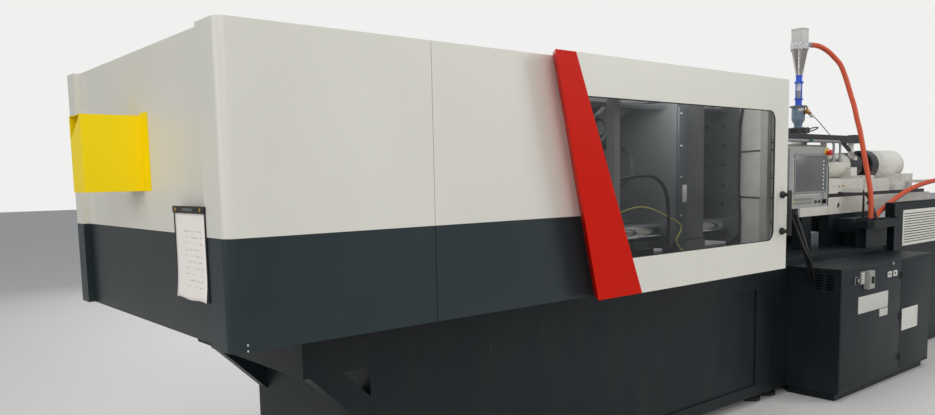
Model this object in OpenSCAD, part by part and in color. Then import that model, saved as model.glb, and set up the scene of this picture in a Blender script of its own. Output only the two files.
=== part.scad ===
// Injection moulding machine: toggle clamp on the left, injection unit on the right.
// +X runs from the clamp end to the injection end, +Y to the rear, +Z up.
// The origin is on the floor under the middle of the machine's box.
// Stations along the machine are measured from the clamp end face,
// and heights marked "over the guard" from the guard's lower edge.

/* [Layout] */
// Clamp end face to the end of the injection base
machine_len = 8400; // [8300:10:8600]
// Height of the guard's lower edge over the floor
guard_z = 1100; // [1050:5:1150]
// Height of the machine's axis over the guard's lower edge
axis_up = 675; // [660:1:690]

/* [Guard covers] */
// Width over the side covers
guard_w = 1958; // [1940:2:1980]
// Height of the guard
guard_h = 1200; // [1190:1:1215]
// Thickness of the cover sheet
sheet = 3; // [2:0.5:4]
// Outer radius of the covers' rounded corners
corner_r = 40; // [30:1:50]
// Height of the dark lower covers
dark_h = 418; // [380:1:450]
// Width of the front cover's return on the end face
return_front = 180; // [150:1:200]
// Width of the rear cover's return on the end face
return_rear = 150; // [120:1:180]
// Depth of the end panel behind the returns
end_recess = 32; // [20:1:45]
// Station of the seam between the two side covers
seam_x = 927; // [850:1:1000]
// Gap at seams
seam_gap = 3; // [2:0.5:5]
// Width of the lips folded round each cover
lip = 20; // [15:1:22]
// Station where the side covers end, behind the gate
cover_end_x = 2260; // [2230:5:2290]
// Drop of the covers' upper edge below the gate's upper edge
cover_drop = 9; // [8:0.5:12]

/* [Gate] */
// Station of the gate's right end
gate_end_x = 3697; // [3680:1:3710]
// How far the gate stands out from the covers
gate_stand = 99; // [90:1:110]
// Clearance between the gate and the covers
gate_clear = 4; // [3:0.5:6]
// Station of the slanted band's left edge at the top
band_x_top = 1567; // [1540:1:1600]
// Station of the slanted band's left edge at the bottom
band_x_low = 1861; // [1830:1:1890]
// Width of the slanted band at the top
band_w_top = 140; // [120:1:160]
// Width of the slanted band at the bottom
band_w_low = 347; // [320:1:370]
// How far the band's return runs back along the machine
band_back = 78; // [60:1:90]
// Height of the window's lower edge over the guard
win_low = 190; // [170:1:210]
// Height of the window's upper edge over the guard
win_high = 1000; // [980:1:1020]
// Station of the window's right edge
win_end_x = 3540; // [3520:1:3560]
// Radius of the window's corners
win_r = 65; // [50:1:80]
// Thickness of the window pane
pane_t = 8; // [5:1:12]
// Overlap of the pane behind its frame
pane_lap = 22; // [15:1:30]
// Height of the gate's handle at its middle, over the guard
handle_up = 360; // [340:1:380]
// Length of the handle bar
handle_len = 276; // [240:2:300]
// Radius of the handle bar
handle_r = 14; // [12:1:16]
// Distance of the handle bar from the gate
handle_out = 55; // [50:1:60]
// Radius of the handle's feet
handle_foot_r = 22; // [18:1:26]
// Station of the handle
handle_x = 3628; // [3620:1:3640]

/* [Clamp] */
// Distance between tie bar centres, both ways
tie_pitch = 850; // [840:1:860]
// Radius of a tie bar
tie_r = 62; // [58:1:66]
// Height and width of the platens
platen_size = 1100; // [1080:2:1110]
// Station of the stationary platen's mould face
fixed_face_x = 4000; // [3980:1:4020]
// Thickness of the stationary platen
fixed_t = 330; // [300:1:340]
// Station of the moving platen's mould face at rest
moving_face_x = 3560; // [3550:1:3570]
// Thickness of the moving platen
moving_t = 310; // [290:1:320]
// Distance from the moving platen's rear face to its toggle pins
moving_pin = 90; // [90:1:100]
// Distance from the tail platen's front face to its toggle pins
tail_pin = 290; // [290:1:300]
// Thickness of the tail platen
tail_t = 320; // [300:1:340]
// Station where the tie bars begin
tie_start_x = 1500; // [1450:5:1600]
// Mould bolt hole pitch on the platens
bolt_pitch = 140; // [140:1:140]
// Radius of the mould bolt holes
bolt_r = 12; // [10:1:13]
// Radius of the locating hole in the stationary platen
locate_r = 80; // [75:1:85]
// Radius of the guide hole round each tie bar
tie_fit = 0.5; // [0.3:0.1:1]

/* [Toggle] */
// Length of a toggle link between its pins
link_len = 345; // [345:1:345]
// Angle of the links below the machine's axis direction at rest
link_angle = 35; // [35:1:35]
// Height of the toggle pins on the platens from the machine's axis
toggle_up = 450; // [450:1:450]
// Radius of the main toggle pins
pin_r = 45; // [40:1:46]
// Radius of the eyes at the main pins
eye_r = 88; // [80:1:90]
// Thickness of a link plate
link_t = 44; // [36:1:44]
// Half distance between the inner faces of the rear links' plates
link_y = 120; // [118:1:124]
// Side gap between neighbouring plates
side_gap = 3; // [2:0.5:4]
// Running clearance of a pin in its eye
pin_fit = 0.1; // [0.05:0.05:0.2]
// Extra clearance of the open knee eye
knee_gap = 20; // [18:1:22]
// Distance of the crosshead link's pin from the tail pin
cross_arm = 270; // [270:1:270]
// Angle of that pin below the rear link
cross_angle = 14; // [14:1:14]
// Length of a crosshead link
cross_len = 230; // [230:1:230]
// Height of the crosshead's pins from the axis
cross_up = 100; // [100:1:100]
// Radius of the crosshead link pins
cross_pin_r = 28; // [24:1:30]
// Extra clearance of the crosshead link's open eye
cross_gap = 12; // [11.5:0.5:12]
// Wall of the crosshead link round its open eye
cross_wall = 13; // [10:1:13]
// Opening travel of the moving platen
open_travel = 352; // [352:1:352]
// Closing travel of the moving platen
close_travel = 44; // [44:1:44]

/* [Base] */
// Distance between the outer faces of the clamp base's side beams
base_w = 1190; // [1180:2:1200]
// Width of a side beam
beam_w = 110; // [100:1:120]
// Height of a side beam
beam_h = 240; // [230:1:250]
// Station where the side beams begin
beam_start_x = 478; // [460:1:500]
// Depth of the beams' lower edge below the guard
beam_drop = 242; // [235:1:250]
// Station where the lower base box begins
box_start_x = 820; // [800:1:840]
// Width of the plain end bay of the lower base box
bay_w = 200; // [180:1:220]
// Recess of the lower side panels
panel_recess = 14; // [8:1:20]
// Thickness of the brace under the beam's end
brace_t = 120; // [110:1:130]
// Height of the levelling mounts
foot_h = 60; // [50:1:80]
// Radius of the levelling mounts
foot_r = 75; // [60:1:90]
// Deck of the injection base below the guard
deck_drop = 50; // [45:1:55]

/* [Injection unit] */
// Station of the feed throat and the hopper
feed_x = 5885; // [5870:1:5900]
// Radius of the barrel
barrel_r = 72; // [68:1:76]
// Radius of the screw
screw_r = 33; // [30:1:36]
// Running gap between screw and barrel
screw_gap = 0.5; // [0.3:0.1:1]
// Station of the drive flange
drive_x = 7270; // [7260:1:7290]
// Radius of the drive housing
drive_r = 152; // [145:1:160]
// Length of the drive housing
drive_len = 600; // [580:5:620]
// Radius of the feed housing
feed_r = 122; // [115:1:130]
// Injection stroke of the screw
screw_stroke = 240; // [200:5:260]

/* [Hopper] */
// Height of the hopper's foot over the guard
hopper_up = 970; // [965:1:980]
// Largest radius of the steel cone
cone_r = 145; // [135:1:150]
// Height of the loader's top over the guard
loader_top = 1905; // [1895:1:1915]
// Diameter of the conveying hose
hose_d = 46; // [40:1:50]

/* [Operator panel] */
// Station of the panel's left edge
panel_x = 3722; // [3715:1:3730]
// Width of the panel
panel_w = 530; // [520:1:540]
// Height of the panel
panel_h = 398; // [380:1:410]
// Height of the panel's lower edge over the guard
panel_up = 380; // [370:1:390]
// Depth of the panel housing
panel_d = 110; // [90:1:130]

/* [Cabinets] */
// Station of the low cabinet's left end
low_x = 4637; // [4630:1:4650]
// Length of the low cabinet
low_len = 1690; // [1680:5:1700]
// Low cabinet's top below the guard
low_drop = 100; // [95:1:105]
// Distance of the low cabinet's front face before the side covers' plane
low_out = 30; // [25:1:35]
// Station of the tall cabinet's left end
tall_x = 6440; // [6430:1:6450]
// Height of the tall cabinet over the guard
tall_up = 320; // [310:1:330]
// Depth of the tall cabinet
tall_d = 60; // [58:1:66]

/* [Hidden] */
$fn = 48;

// Overall frame of the machine
hood_out = 210;
end_x = (hood_out - machine_len) / 2;
half_w = guard_w / 2;
axis_z = guard_z + axis_up;
cover_top = guard_z + guard_h - cover_drop;
gate_top = guard_z + guard_h;
touch = 0.3;
seat = 0.05;

// Clamp stations
tie_half = tie_pitch / 2;
platen_half = platen_size / 2;
moving_back_x = moving_face_x - moving_t;
front_pin_x = moving_back_x - moving_pin;
rear_pin_x = front_pin_x - 2 * link_len * cos(link_angle);
tail_face_x = rear_pin_x - tail_pin;
tail_back_x = tail_face_x - tail_t;
fixed_back_x = fixed_face_x + fixed_t;
knee_x = rear_pin_x + link_len * cos(link_angle);
knee_up = toggle_up - link_len * sin(link_angle);
arm_x = rear_pin_x + cross_arm * cos(link_angle + cross_angle);
arm_up = toggle_up - cross_arm * sin(link_angle + cross_angle);
cross_x = arm_x - sqrt(pow(cross_len, 2) - pow(arm_up - cross_up, 2));

// Ejector in the moving platen
eject_r = 150;
eject_rod_r = 24;
eject_pin_r = 16;
eject_pin_y = 110;

// Plates of the toggle, from the middle outwards
cross_plate_y = link_y - side_gap - link_t;
outer_plate_y = link_y + link_t + side_gap;
guide_y = 93;
guide_r = 22;
piston_rod_r = 38;
piston_r = 90;

// Base stations
base_half = base_w / 2;
way_h = 25;
beam_low_z = guard_z - beam_drop;
beam_high_z = beam_low_z + beam_h;
base_split_x = fixed_back_x + 60;
deck_z = guard_z - deck_drop;
platen_low_z = axis_z - platen_half;

// Frame of the guard
post = 50;
frame_in = 40;
rail_z = gate_top - 42;

// Injection unit
feed_end_x = 6950;
beam_y = -129;
beam_end_x = 6800;
beam_under_z = guard_z + 885;
strut_x = 6765;
near_y_in = -180 - touch;
tube_in_y = -120 - touch;
tube_stations = [6185, 6240];
tall_back_y = -base_half - 30 + tall_d;
bed_low_z = guard_z + 236;
bed_high_z = guard_z + 385;
rail_high_z = bed_high_z + 34;
bed_half = 330;
bed_x = 5320;
bed_end_x = machine_len - 280;
barrel_tip_x = fixed_face_x + 215;
hopper_z = guard_z + hopper_up;
tray_z = guard_z + 195;
tray_l = 620;
tray_x = tall_x - 20 - tray_l;
tray_y = -base_half - 134;

// Route of the hose from the loader down to the tray: station, offset and height,
// in mm, chosen by hand
loader_route = [
    [6093, 1, 2881], [6157, 1, 2885], [6222, -3, 2884], [6287, -18, 2869], [6340, -50, 2832],
    [6380, -90, 2775], [6412, -135, 2700], [6433, -179, 2567], [6434, -222, 2430],
    [6424, -262, 2320], [6407, -299, 2200], [6387, -340, 2080], [6364, -375, 1960],
    [6334, -410, 1850], [6300, -450, 1730], [6272, -480, 1640], [6244, -510, 1540],
    [6218, -530, 1440], [6198, -540, 1350], [6184, -545, 1280]
];
// Route of the hose from the tray to the end of the machine
supply_route = [
    [6290, -545, 1292], [6336, -538, 1318], [6423, -530, 1350], [6534, -524, 1381],
    [6652, -518, 1412], [6812, -512, 1456], [6980, -507, 1498], [7146, -502, 1530],
    [7303, -498, 1555], [7480, -494, 1577], [7650, -491, 1594], [7820, -490, 1606],
    [7960, -490, 1616], [8090, -490, 1622]
];
// Route of the panel's cable bundle down to the low cabinet
cable_route = [
    [3908, -1015, 1478], [3915, -1015, 1440], [3938, -1012, 1400], [3985, -1006, 1350],
    [4045, -992, 1296], [4110, -974, 1248], [4180, -950, 1205], [4260, -926, 1160],
    [4340, -901, 1118], [4420, -872, 1068], [4490, -848, 1018], [4550, -826, 968],
    [4594, -808, 928], [4615, -800, 910]
];

// Places a piece by its station, its distance from the middle and its height
module at(x, y, z) {
    translate([end_x + x, y, z]) children();
}

// Cylinder along the machine
module bar_x(r, l) {
    rotate([0, 90, 0]) cylinder(r = r, h = l);
}

// Cylinder across the machine, centred
module bar_y(r, l) {
    rotate([90, 0, 0]) cylinder(r = r, h = l, center = true);
}

// Straight round rod between two points
module rod(from, to, r) {
    run = to - from;
    len3 = norm(run);
    translate(from) rotate([0, acos(run[2] / len3), atan2(run[1], run[0])])
        cylinder(r = r, h = len3);
}

// Box centred across the machine
module mid_box(l, w, h) {
    translate([0, -w / 2, 0]) cube([l, w, h]);
}

// Copies a piece to both sides
module both_sides() {
    children();
    mirror([0, 1, 0]) children();
}

function unit(v) = v / norm(v);
function ring_dir(path, i) = unit(path[min(i + 1, len(path) - 1)] - path[max(i - 1, 0)]);
function ring_side(d) = unit(cross(d, [0.31, 0.2, 0.93]));

// Hose swept along a route
module swept(path, d, sides) {
    rings = [
        for (i = [0 : len(path) - 1])
            let (dir = ring_dir(path, i), u = ring_side(dir), v = cross(dir, u))
            for (j = [0 : sides - 1])
                path[i] + d / 2 * (cos(360 * j / sides) * u + sin(360 * j / sides) * v)
    ];
    last = (len(path) - 1) * sides;
    walls = [
        for (i = [0 : len(path) - 2])
            for (j = [0 : sides - 1])
                let (k = (j + 1) % sides, a = i * sides)
                [a + j, a + sides + j, a + sides + k, a + k]
    ];
    caps = [[for (j = [0 : sides - 1]) j], [for (j = [sides - 1 : -1 : 0]) last + j]];
    polyhedron(points = rings, faces = concat(walls, caps));
}

// Platen plate with tie bar holes and cut corners
module platen_plate(t, hole_r) {
    cut = 60;
    difference() {
        rotate([0, 90, 0]) rotate([0, 0, 90]) linear_extrude(t) polygon([
            [-platen_half, -platen_half + cut], [-platen_half + cut, -platen_half],
            [platen_half - cut, -platen_half], [platen_half, -platen_half + cut],
            [platen_half, platen_half - cut], [platen_half - cut, platen_half],
            [-platen_half + cut, platen_half], [-platen_half, platen_half - cut]
        ]);
        for (y = [-tie_half, tie_half], z = [-tie_half, tie_half])
            translate([-1, y, z]) bar_x(hole_r, t + 2);
    }
}

// Grid of mould bolt holes
module bolt_grid(depth) {
    for (i = [-3 : 3], j = [-3 : 3])
        if (abs(i) > 1 || abs(j) > 1)
            if (abs(i) < 3 || abs(j) < 3)
                translate([0, i * bolt_pitch, j * bolt_pitch]) bar_x(bolt_r, depth);
}

// Feet under a platen's lower corners, standing on the base's beams
module platen_feet(x, l, stand_z) {
    both_sides() at(x, base_half - beam_w - 60, stand_z)
        cube([l, beam_w + 45, platen_low_z + 55 - stand_z]);
}

module stationary_platen() {
    color([0.32, 0.34, 0.35]) at(fixed_face_x, 0, axis_z) difference() {
        platen_plate(fixed_t, tie_r + tie_fit);
        translate([-1, 0, 0]) bar_x(locate_r, fixed_t + 2);
        translate([90, 0, 0]) bar_x(190, fixed_t);
        translate([-1, 0, 0]) bolt_grid(80);
    }
    color([0.32, 0.34, 0.35]) platen_feet(fixed_face_x + 40, fixed_t - 80, beam_high_z);
}

module tail_platen() {
    color([0.32, 0.34, 0.35]) at(tail_back_x, 0, axis_z) {
        difference() {
            union() {
                platen_plate(tail_t, tie_r + tie_fit);
                both_sides() for (s = [-1, 1])
                    translate([tail_t, outer_plate_y, s * toggle_up])
                        toggle_ear(tail_pin);
            }
            translate([-1, 0, 0]) bar_x(65, tail_t + 2);
            for (y = [-guide_y, guide_y])
                translate([tail_t - 60, y, 0]) bar_x(guide_r + seat, 100);
            for (s = [-1, 1])
                translate([tail_t + tail_pin, 0, s * toggle_up]) bar_y(pin_r + pin_fit, 900);
            for (z = [-1, 1])
                translate([-1, -60, z * 190 - 40]) cube([tail_t + 2, 120, 80]);
        }
    }
    color([0.32, 0.34, 0.35]) platen_feet(tail_back_x + 30, tail_t - 60, beam_high_z);
}

// Ear plate that stands out of a platen by the given length to its pin
module toggle_ear(reach) {
    rotate([-90, 0, 0]) linear_extrude(link_t) union() {
        translate([-20, -eye_r]) square([reach + 20, 2 * eye_r]);
        translate([reach, 0]) circle(r = eye_r);
    }
}

// Link plate from one pin to another, seen from the side
module link_plate(from, to, r1, r2) {
    run = to - from;
    len2 = norm(run);
    turn = atan2(run[1], run[0]);
    translate(from) rotate([0, 0, turn]) union() {
        circle(r = r1);
        translate([len2, 0]) circle(r = r2);
        polygon([
            [0, -r1 * 0.8], [len2, -r2 * 0.8], [len2, r2 * 0.8], [0, r1 * 0.8]
        ]);
    }
}

// Stands a side view up at a distance from the middle, with a thickness
module stand(y, t) {
    translate([0, y + t, 0]) rotate([90, 0, 0]) linear_extrude(t) children();
}

module rear_link(s) {
    a = [rear_pin_x, s * toggle_up];
    k = [knee_x, s * knee_up];
    q = [arm_x, s * arm_up];
    color([0.25, 0.27, 0.28]) at(0, 0, axis_z) {
        both_sides() stand(link_y, link_t) union() {
            link_plate(a, k, eye_r, eye_r);
            translate(q) circle(r = eye_r * 0.62);
        }
        translate([a[0], 0, a[1]]) bar_y(pin_r, 2 * (outer_plate_y + link_t + 12));
        translate([k[0], 0, k[1]]) bar_y(pin_r, 2 * (outer_plate_y + link_t + 12));
        translate([q[0], 0, q[1]]) bar_y(cross_pin_r, 2 * link_y + 10);
    }
}

module rear_link_upper() {
    rear_link(1);
}

module rear_link_lower() {
    rear_link(-1);
}

module front_link(s) {
    k = [knee_x, s * knee_up];
    p = [front_pin_x, s * toggle_up];
    color([0.28, 0.3, 0.31]) at(0, 0, axis_z) {
        both_sides() stand(outer_plate_y, link_t) difference() {
            link_plate(k, p, eye_r, eye_r);
            translate(k) circle(r = pin_r + knee_gap);
        }
        translate([p[0], 0, p[1]]) bar_y(pin_r, 2 * (outer_plate_y + link_t + 12));
    }
}

module front_link_upper() {
    front_link(1);
}

module front_link_lower() {
    front_link(-1);
}

module crosshead_link(s) {
    c = [cross_x, s * cross_up];
    q = [arm_x, s * arm_up];
    color([0.4, 0.42, 0.43]) at(0, 0, axis_z)
        both_sides() stand(cross_plate_y, link_t) difference() {
            link_plate(c, q, cross_pin_r + 20, cross_pin_r + cross_gap + cross_wall);
            translate(c) circle(r = cross_pin_r + pin_fit);
            translate(q) circle(r = cross_pin_r + cross_gap);
        }
}

module crosshead_link_upper() {
    crosshead_link(1);
}

module crosshead_link_lower() {
    crosshead_link(-1);
}

module crosshead() {
    body_l = 104;
    color([0.5, 0.52, 0.53]) at(cross_x, 0, axis_z) difference() {
        union() {
            translate([-body_l / 2, 0, -42]) mid_box(body_l, 2 * (guide_y + guide_r + 8), 84);
            translate([-body_l / 2, 0, -140])
                mid_box(body_l, 2 * (cross_plate_y - side_gap), 280);
            for (s = [-1, 1])
                translate([0, 0, s * cross_up])
                    bar_y(cross_pin_r, 2 * (cross_plate_y + link_t - 2));
            rod_l = cross_x - tail_back_x + 300;
            translate([-rod_l, 0, 0]) bar_x(piston_rod_r, rod_l);
            translate([-rod_l, 0, 0]) bar_x(piston_r, 60);
        }
        for (y = [-guide_y, guide_y])
            translate([-body_l, y, 0]) bar_x(guide_r + pin_fit, 2 * body_l);
    }
}

module clamp_cylinder() {
    barrel_l = 900;
    color([0.3, 0.32, 0.33]) at(tail_back_x - barrel_l, 0, axis_z) difference() {
        union() {
            bar_x(120, barrel_l);
            translate([barrel_l - 50, 0, 0]) bar_x(170, 50 - touch);
            bar_x(150, 60);
            translate([120, 0, 90]) cylinder(r = 28, h = 60);
            translate([barrel_l - 140, 0, 90]) cylinder(r = 28, h = 60);
        }
        translate([60, 0, 0]) bar_x(piston_r + pin_fit, barrel_l - 130);
        translate([60, 0, 0]) bar_x(piston_rod_r + pin_fit, barrel_l);
        for (a = [0 : 45 : 315])
            rotate([a, 0, 0]) translate([barrel_l - 51, 0, 145]) bar_x(9, 52);
    }
}

module moving_platen() {
    color([0.3, 0.32, 0.33]) at(moving_back_x, 0, axis_z) {
        difference() {
            union() {
                platen_plate(moving_t, tie_r + tie_fit);
                both_sides() for (s = [-1, 1])
                    translate([0, link_y, s * toggle_up]) mirror([1, 0, 0])
                        toggle_ear(moving_pin);
                translate([-36, 0, -60]) mid_box(37, 2 * eject_r + 100, 120);
                translate([-moving_pin, 0, 0]) bar_x(62, moving_pin);
            }
            translate([-moving_pin - 1, 0, 0]) bar_x(eject_rod_r + pin_fit, moving_pin + 2);
            for (s = [-1, 1])
                translate([-moving_pin, 0, s * toggle_up]) bar_y(pin_r + pin_fit, 900);
            translate([-1, 0, 0]) bar_x(eject_r + 20, moving_t - 89);
            for (y = [-eject_pin_y, eject_pin_y])
                translate([-1, y, 0]) bar_x(eject_pin_r + pin_fit, moving_t + 2);
            translate([moving_t - 79, 0, 0]) bolt_grid(80);
            for (s = [-1, 1])
                translate([40, -420, s * 300 - 60]) cube([moving_t - 80, 840, 120]);
        }
    }
    color([0.3, 0.32, 0.33])
        platen_feet(moving_back_x + 20, moving_t - 40, beam_high_z + way_h + touch);
}

// Ejector plate in the moving platen's rear, with its rod and push pins
module ejector() {
    plate_t = 40;
    back = 25;
    color([0.6, 0.62, 0.63]) at(moving_back_x + back, 0, axis_z) {
        bar_x(eject_r, plate_t);
        translate([-moving_pin - back + 15, 0, 0]) bar_x(eject_rod_r, moving_pin + back - 14);
        for (y = [-eject_pin_y, eject_pin_y])
            translate([plate_t - 1, y, 0]) bar_x(eject_pin_r, moving_t - back - plate_t - 9);
    }
}

module tie_bars() {
    bar_l = fixed_back_x + 70 - tie_start_x;
    color([0.8, 0.81, 0.82]) {
        for (y = [-tie_half, tie_half], z = [-tie_half, tie_half])
            at(tie_start_x, y, axis_z + z) bar_x(tie_r, bar_l);
        for (y = [-guide_y, guide_y])
            at(tail_face_x - 60, y, axis_z) bar_x(guide_r, rear_pin_x + 190 - tail_face_x);
    }
}

// Nut with spanner slots round a tie bar
module bar_nut(r, t) {
    difference() {
        bar_x(r, t);
        translate([-1, 0, 0]) bar_x(tie_r + seat, t + 2);
        for (a = [0 : 60 : 300])
            rotate([a, 0, 0]) translate([-1, -9, r - 14]) cube([t + 2, 18, 20]);
    }
}

module tie_bar_nuts() {
    nut_r = 112;
    color([0.42, 0.44, 0.45])
        for (y = [-tie_half, tie_half], z = [-tie_half, tie_half]) {
            at(tail_back_x - 90 - touch, y, axis_z + z) bar_nut(nut_r, 90);
            at(tail_face_x + touch, y, axis_z + z) bar_nut(nut_r, 45);
            at(fixed_back_x + touch, y, axis_z + z) bar_nut(nut_r - 8, 58);
        }
}

module clamp_base() {
    beam_l = base_split_x - beam_start_x;
    box_low = foot_h;
    box_l = base_split_x - box_start_x;
    wall = 10;
    color([0.13, 0.17, 0.18]) difference() {
        union() {
            both_sides() {
                at(beam_start_x, base_half - beam_w, beam_low_z) cube([beam_l, beam_w, beam_h]);
                at(box_start_x, base_half - wall - panel_recess, box_low)
                    cube([box_l, wall, beam_low_z - box_low]);
                at(box_start_x, base_half - 60, box_low) cube([bay_w, 60, beam_low_z - box_low]);
                at(base_split_x - bay_w, base_half - 60, box_low)
                    cube([bay_w, 60, beam_low_z - box_low]);
                at(box_start_x, base_half - beam_w, box_low) cube([box_l, beam_w, 80]);
                at(moving_back_x - open_travel - 30, base_half - beam_w - 40, beam_high_z - 1)
                    cube([moving_t + open_travel + close_travel + 60, beam_w + 20, way_h + 1]);
                side_brace();
            }
            for (x = [beam_start_x, box_start_x + 60, tail_back_x + 100,
                      moving_back_x - 420, base_split_x - 80])
                at(x, 0, beam_low_z) mid_box(80, base_w - 20, beam_h - 70);
            at(box_start_x, 0, box_low) mid_box(wall, base_w - 20, beam_low_z - box_low);
            at(base_split_x - wall, 0, box_low) mid_box(wall, base_w - 20, beam_low_z - box_low);
        }
        chute_x = moving_face_x - 60;
        at(chute_x, 0, beam_low_z - 1) mid_box(fixed_face_x - chute_x - 60, base_w - 300, beam_h);
    }
}

// Diagonal brace from the lower box to the beam's overhanging end
module side_brace() {
    rise = box_start_x - beam_start_x - 30;
    at(0, base_half, 0) rotate([90, 0, 0]) linear_extrude(beam_w) polygon([
        [beam_start_x + 30, beam_low_z + 1], [beam_start_x + 30 + brace_t * 1.4, beam_low_z + 1],
        [box_start_x + 5, beam_low_z + brace_t * 1.4 - rise],
        [box_start_x + 5, beam_low_z - rise]
    ]);
}

module injection_base() {
    box_low = foot_h;
    wall = 8;
    pedestal_x = tray_x + 60;
    color([0.13, 0.17, 0.18]) {
        difference() {
            base_box(0, 0);
            base_box(wall, 1);
        }
        for (x = [base_split_x + 900, tall_x - 40])
            at(x, 0, box_low) mid_box(wall, base_w - 2, deck_z - box_low - 2);
        for (x = [base_split_x + 110, tall_x + 110, machine_len - 110]) {
            front_y = x < tall_x ? -base_half + 1 : tall_back_y + touch + 1;
            at(x - 70, front_y, box_low) cube([140, base_half - 1 - front_y, 60]);
        }
        both_sides() {
            at(pedestal_x, bed_half - 100, deck_z - 1) cube([520, 90, bed_low_z - deck_z + 1]);
            at(bed_end_x - 620, bed_half - 100, deck_z - 1)
                cube([520, 90, bed_low_z - deck_z + 1]);
            at(bed_x + 60, bed_half - 100, deck_z - 1) cube([160, 90, bed_low_z - deck_z + 1]);
        }
        hose_tray();
    }
}

// Box of the injection base, narrower where the tall cabinet stands
module base_box(in, below) {
    l = machine_len - base_split_x;
    at(base_split_x + in, 0, foot_h - below) linear_extrude(deck_z - foot_h - in + below)
        polygon([
            [0, -base_half + in], [tall_x - base_split_x - touch - 2 * in, -base_half + in],
            [tall_x - base_split_x - touch - 2 * in, tall_back_y + touch + in],
            [l - 2 * in, tall_back_y + touch + in], [l - 2 * in, base_half - in],
            [0, base_half - in]
        ]);
}

// Round-cornered tray held off the deck, in front of the bed's pedestal
module hose_tray() {
    tray_w = 145;
    tray_h = 70;
    r = 60;
    at(tray_x, tray_y, tray_z - tray_h) difference() {
        union() {
            linear_extrude(tray_h) round_rect(tray_l, tray_w, r);
            translate([90, tray_w - 55, deck_z - tray_z + tray_h - 1])
                cube([420, 95, tray_z - tray_h - deck_z + 2]);
        }
        translate([8, 8, 8]) linear_extrude(tray_h) round_rect(tray_l - 16, tray_w - 16, r - 8);
    }
}

// Rectangle with rounded corners
module round_rect(l, w, r) {
    union() {
        translate([r, 0]) square([l - 2 * r, w]);
        translate([0, r]) square([l, w - 2 * r]);
        for (x = [r, l - r], y = [r, w - r])
            translate([x, y]) circle(r = r);
    }
}

module levelling_mounts() {
    color([0.1, 0.1, 0.1])
        for (x = [box_start_x + 100, tail_face_x, base_split_x - 110, base_split_x + 110,
                  tall_x + 110, machine_len - 110])
            for (y = [x < tall_x ? -base_half + 95 : tall_back_y + 95, base_half - 95])
                at(x, y, 0) {
                    cylinder(r = foot_r, h = 22);
                    translate([0, 0, 22]) cylinder(r = foot_r * 0.72, h = foot_h - 22 - touch);
                }
}

module guard_frame() {
    run = gate_end_x + 55 - end_recess - 60;
    x1 = end_recess + 45;
    color([0.75, 0.75, 0.73]) {
        both_sides() {
            at(x1, half_w - frame_in - post, guard_z + 12) cube([post, post, guard_h - 62]);
            at(seam_x - post / 2, half_w - frame_in - post, guard_z + 12)
                cube([post, post, guard_h - 62]);
            at(cover_end_x - 110, half_w - frame_in - post, guard_z + 12)
                cube([post, post, guard_h - 62]);
            at(gate_end_x - 4, half_w - frame_in - post, guard_z + 12)
                cube([post, post, guard_h - 62]);
            at(x1, half_w - frame_in - post, cover_top - 91) cube([run, post, post]);
            at(x1, half_w - frame_in - post, guard_z + 12) cube([run, post, post]);
            at(x1 + 30, half_w - frame_in - 1, rail_z - 25) cube([run - 60, 9, 34]);
            at(x1 + 30, half_w - frame_in - 1, guard_z + 20) cube([run - 60, 9, 30]);
            for (x = [beam_start_x + 40, tail_face_x, moving_face_x - 140])
                at(x, base_half, guard_z + 12)
                    cube([60, half_w - frame_in - base_half - post + 1, 50]);
            for (x = [beam_start_x + 40, tail_face_x, moving_face_x - 140])
                at(x, base_half, beam_high_z - 60)
                    cube([60, 14, guard_z + 12 - beam_high_z + 110]);
        }
        for (x = [x1, seam_x - post / 2])
            at(x, 0, cover_top - 91) mid_box(post, 2 * (half_w - frame_in - 2), post);
    }
}

// Folded cover sheet that wraps one corner of the guard, lying along its front edge
module wrap_profile(back, to) {
    union() {
        difference() {
            translate([corner_r, corner_r]) circle(r = corner_r);
            translate([corner_r, corner_r]) circle(r = corner_r - sheet);
            translate([corner_r, -1]) square([corner_r + 2, 2 * corner_r + 2]);
            translate([-1, corner_r]) square([2 * corner_r + 2, corner_r + 2]);
        }
        translate([0, corner_r]) square([sheet, back - corner_r]);
        translate([0, back - sheet]) square([end_recess - touch, sheet]);
        translate([corner_r, 0]) square([to - corner_r, sheet]);
        translate([to - sheet, 0]) square([sheet, lip]);
    }
}

// Solid inner edge fold along the top and bottom of a wrapped cover
module wrap_fold(back, to) {
    difference() {
        union() {
            translate([corner_r, corner_r]) circle(r = corner_r - 1);
            translate([1, corner_r]) square([lip, back - corner_r - 1]);
            translate([corner_r, 1]) square([to - corner_r - 1, lip]);
        }
        translate([lip + 1, lip + 1]) square([to, back]);
    }
}

module wrapped_cover(back, to, h) {
    linear_extrude(h) wrap_profile(back, to);
    linear_extrude(sheet) wrap_fold(back, to);
    translate([0, 0, h - sheet]) linear_extrude(sheet) wrap_fold(back, to);
}

// Flat cover with folded lips all round
module flat_cover(l, h) {
    cube([l, sheet, h]);
    for (z = [0, h - sheet])
        translate([0, 0, z]) cube([l, lip, sheet]);
    for (x = [0, l - sheet])
        translate([x, 0, 0]) cube([sheet, lip, h]);
}

// Studs that stand a cover off the frame's posts
module cover_studs(x, low, high) {
    for (z = [low + 55, high - 75])
        at(x, -half_w + (sheet + frame_in) / 2 - 0.5, z) bar_y(8, frame_in - sheet + 1 - touch);
}

module side_covers(low, high, back) {
    at(0, -half_w, low) wrapped_cover(back, seam_x - seam_gap / 2, high - low);
    at(seam_x + seam_gap / 2, -half_w, low)
        flat_cover(cover_end_x - seam_x - seam_gap / 2, high - low);
    for (x = [end_recess + 70, seam_x - 14, seam_x + 14, cover_end_x - 85])
        cover_studs(x, low, high);
}

dark_low_z = guard_z + 5;
dark_high_z = guard_z + dark_h - 1;
white_low_z = guard_z + dark_h + 1;

module front_upper_covers() {
    color([0.86, 0.86, 0.82]) side_covers(white_low_z, cover_top, return_front);
}

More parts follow.
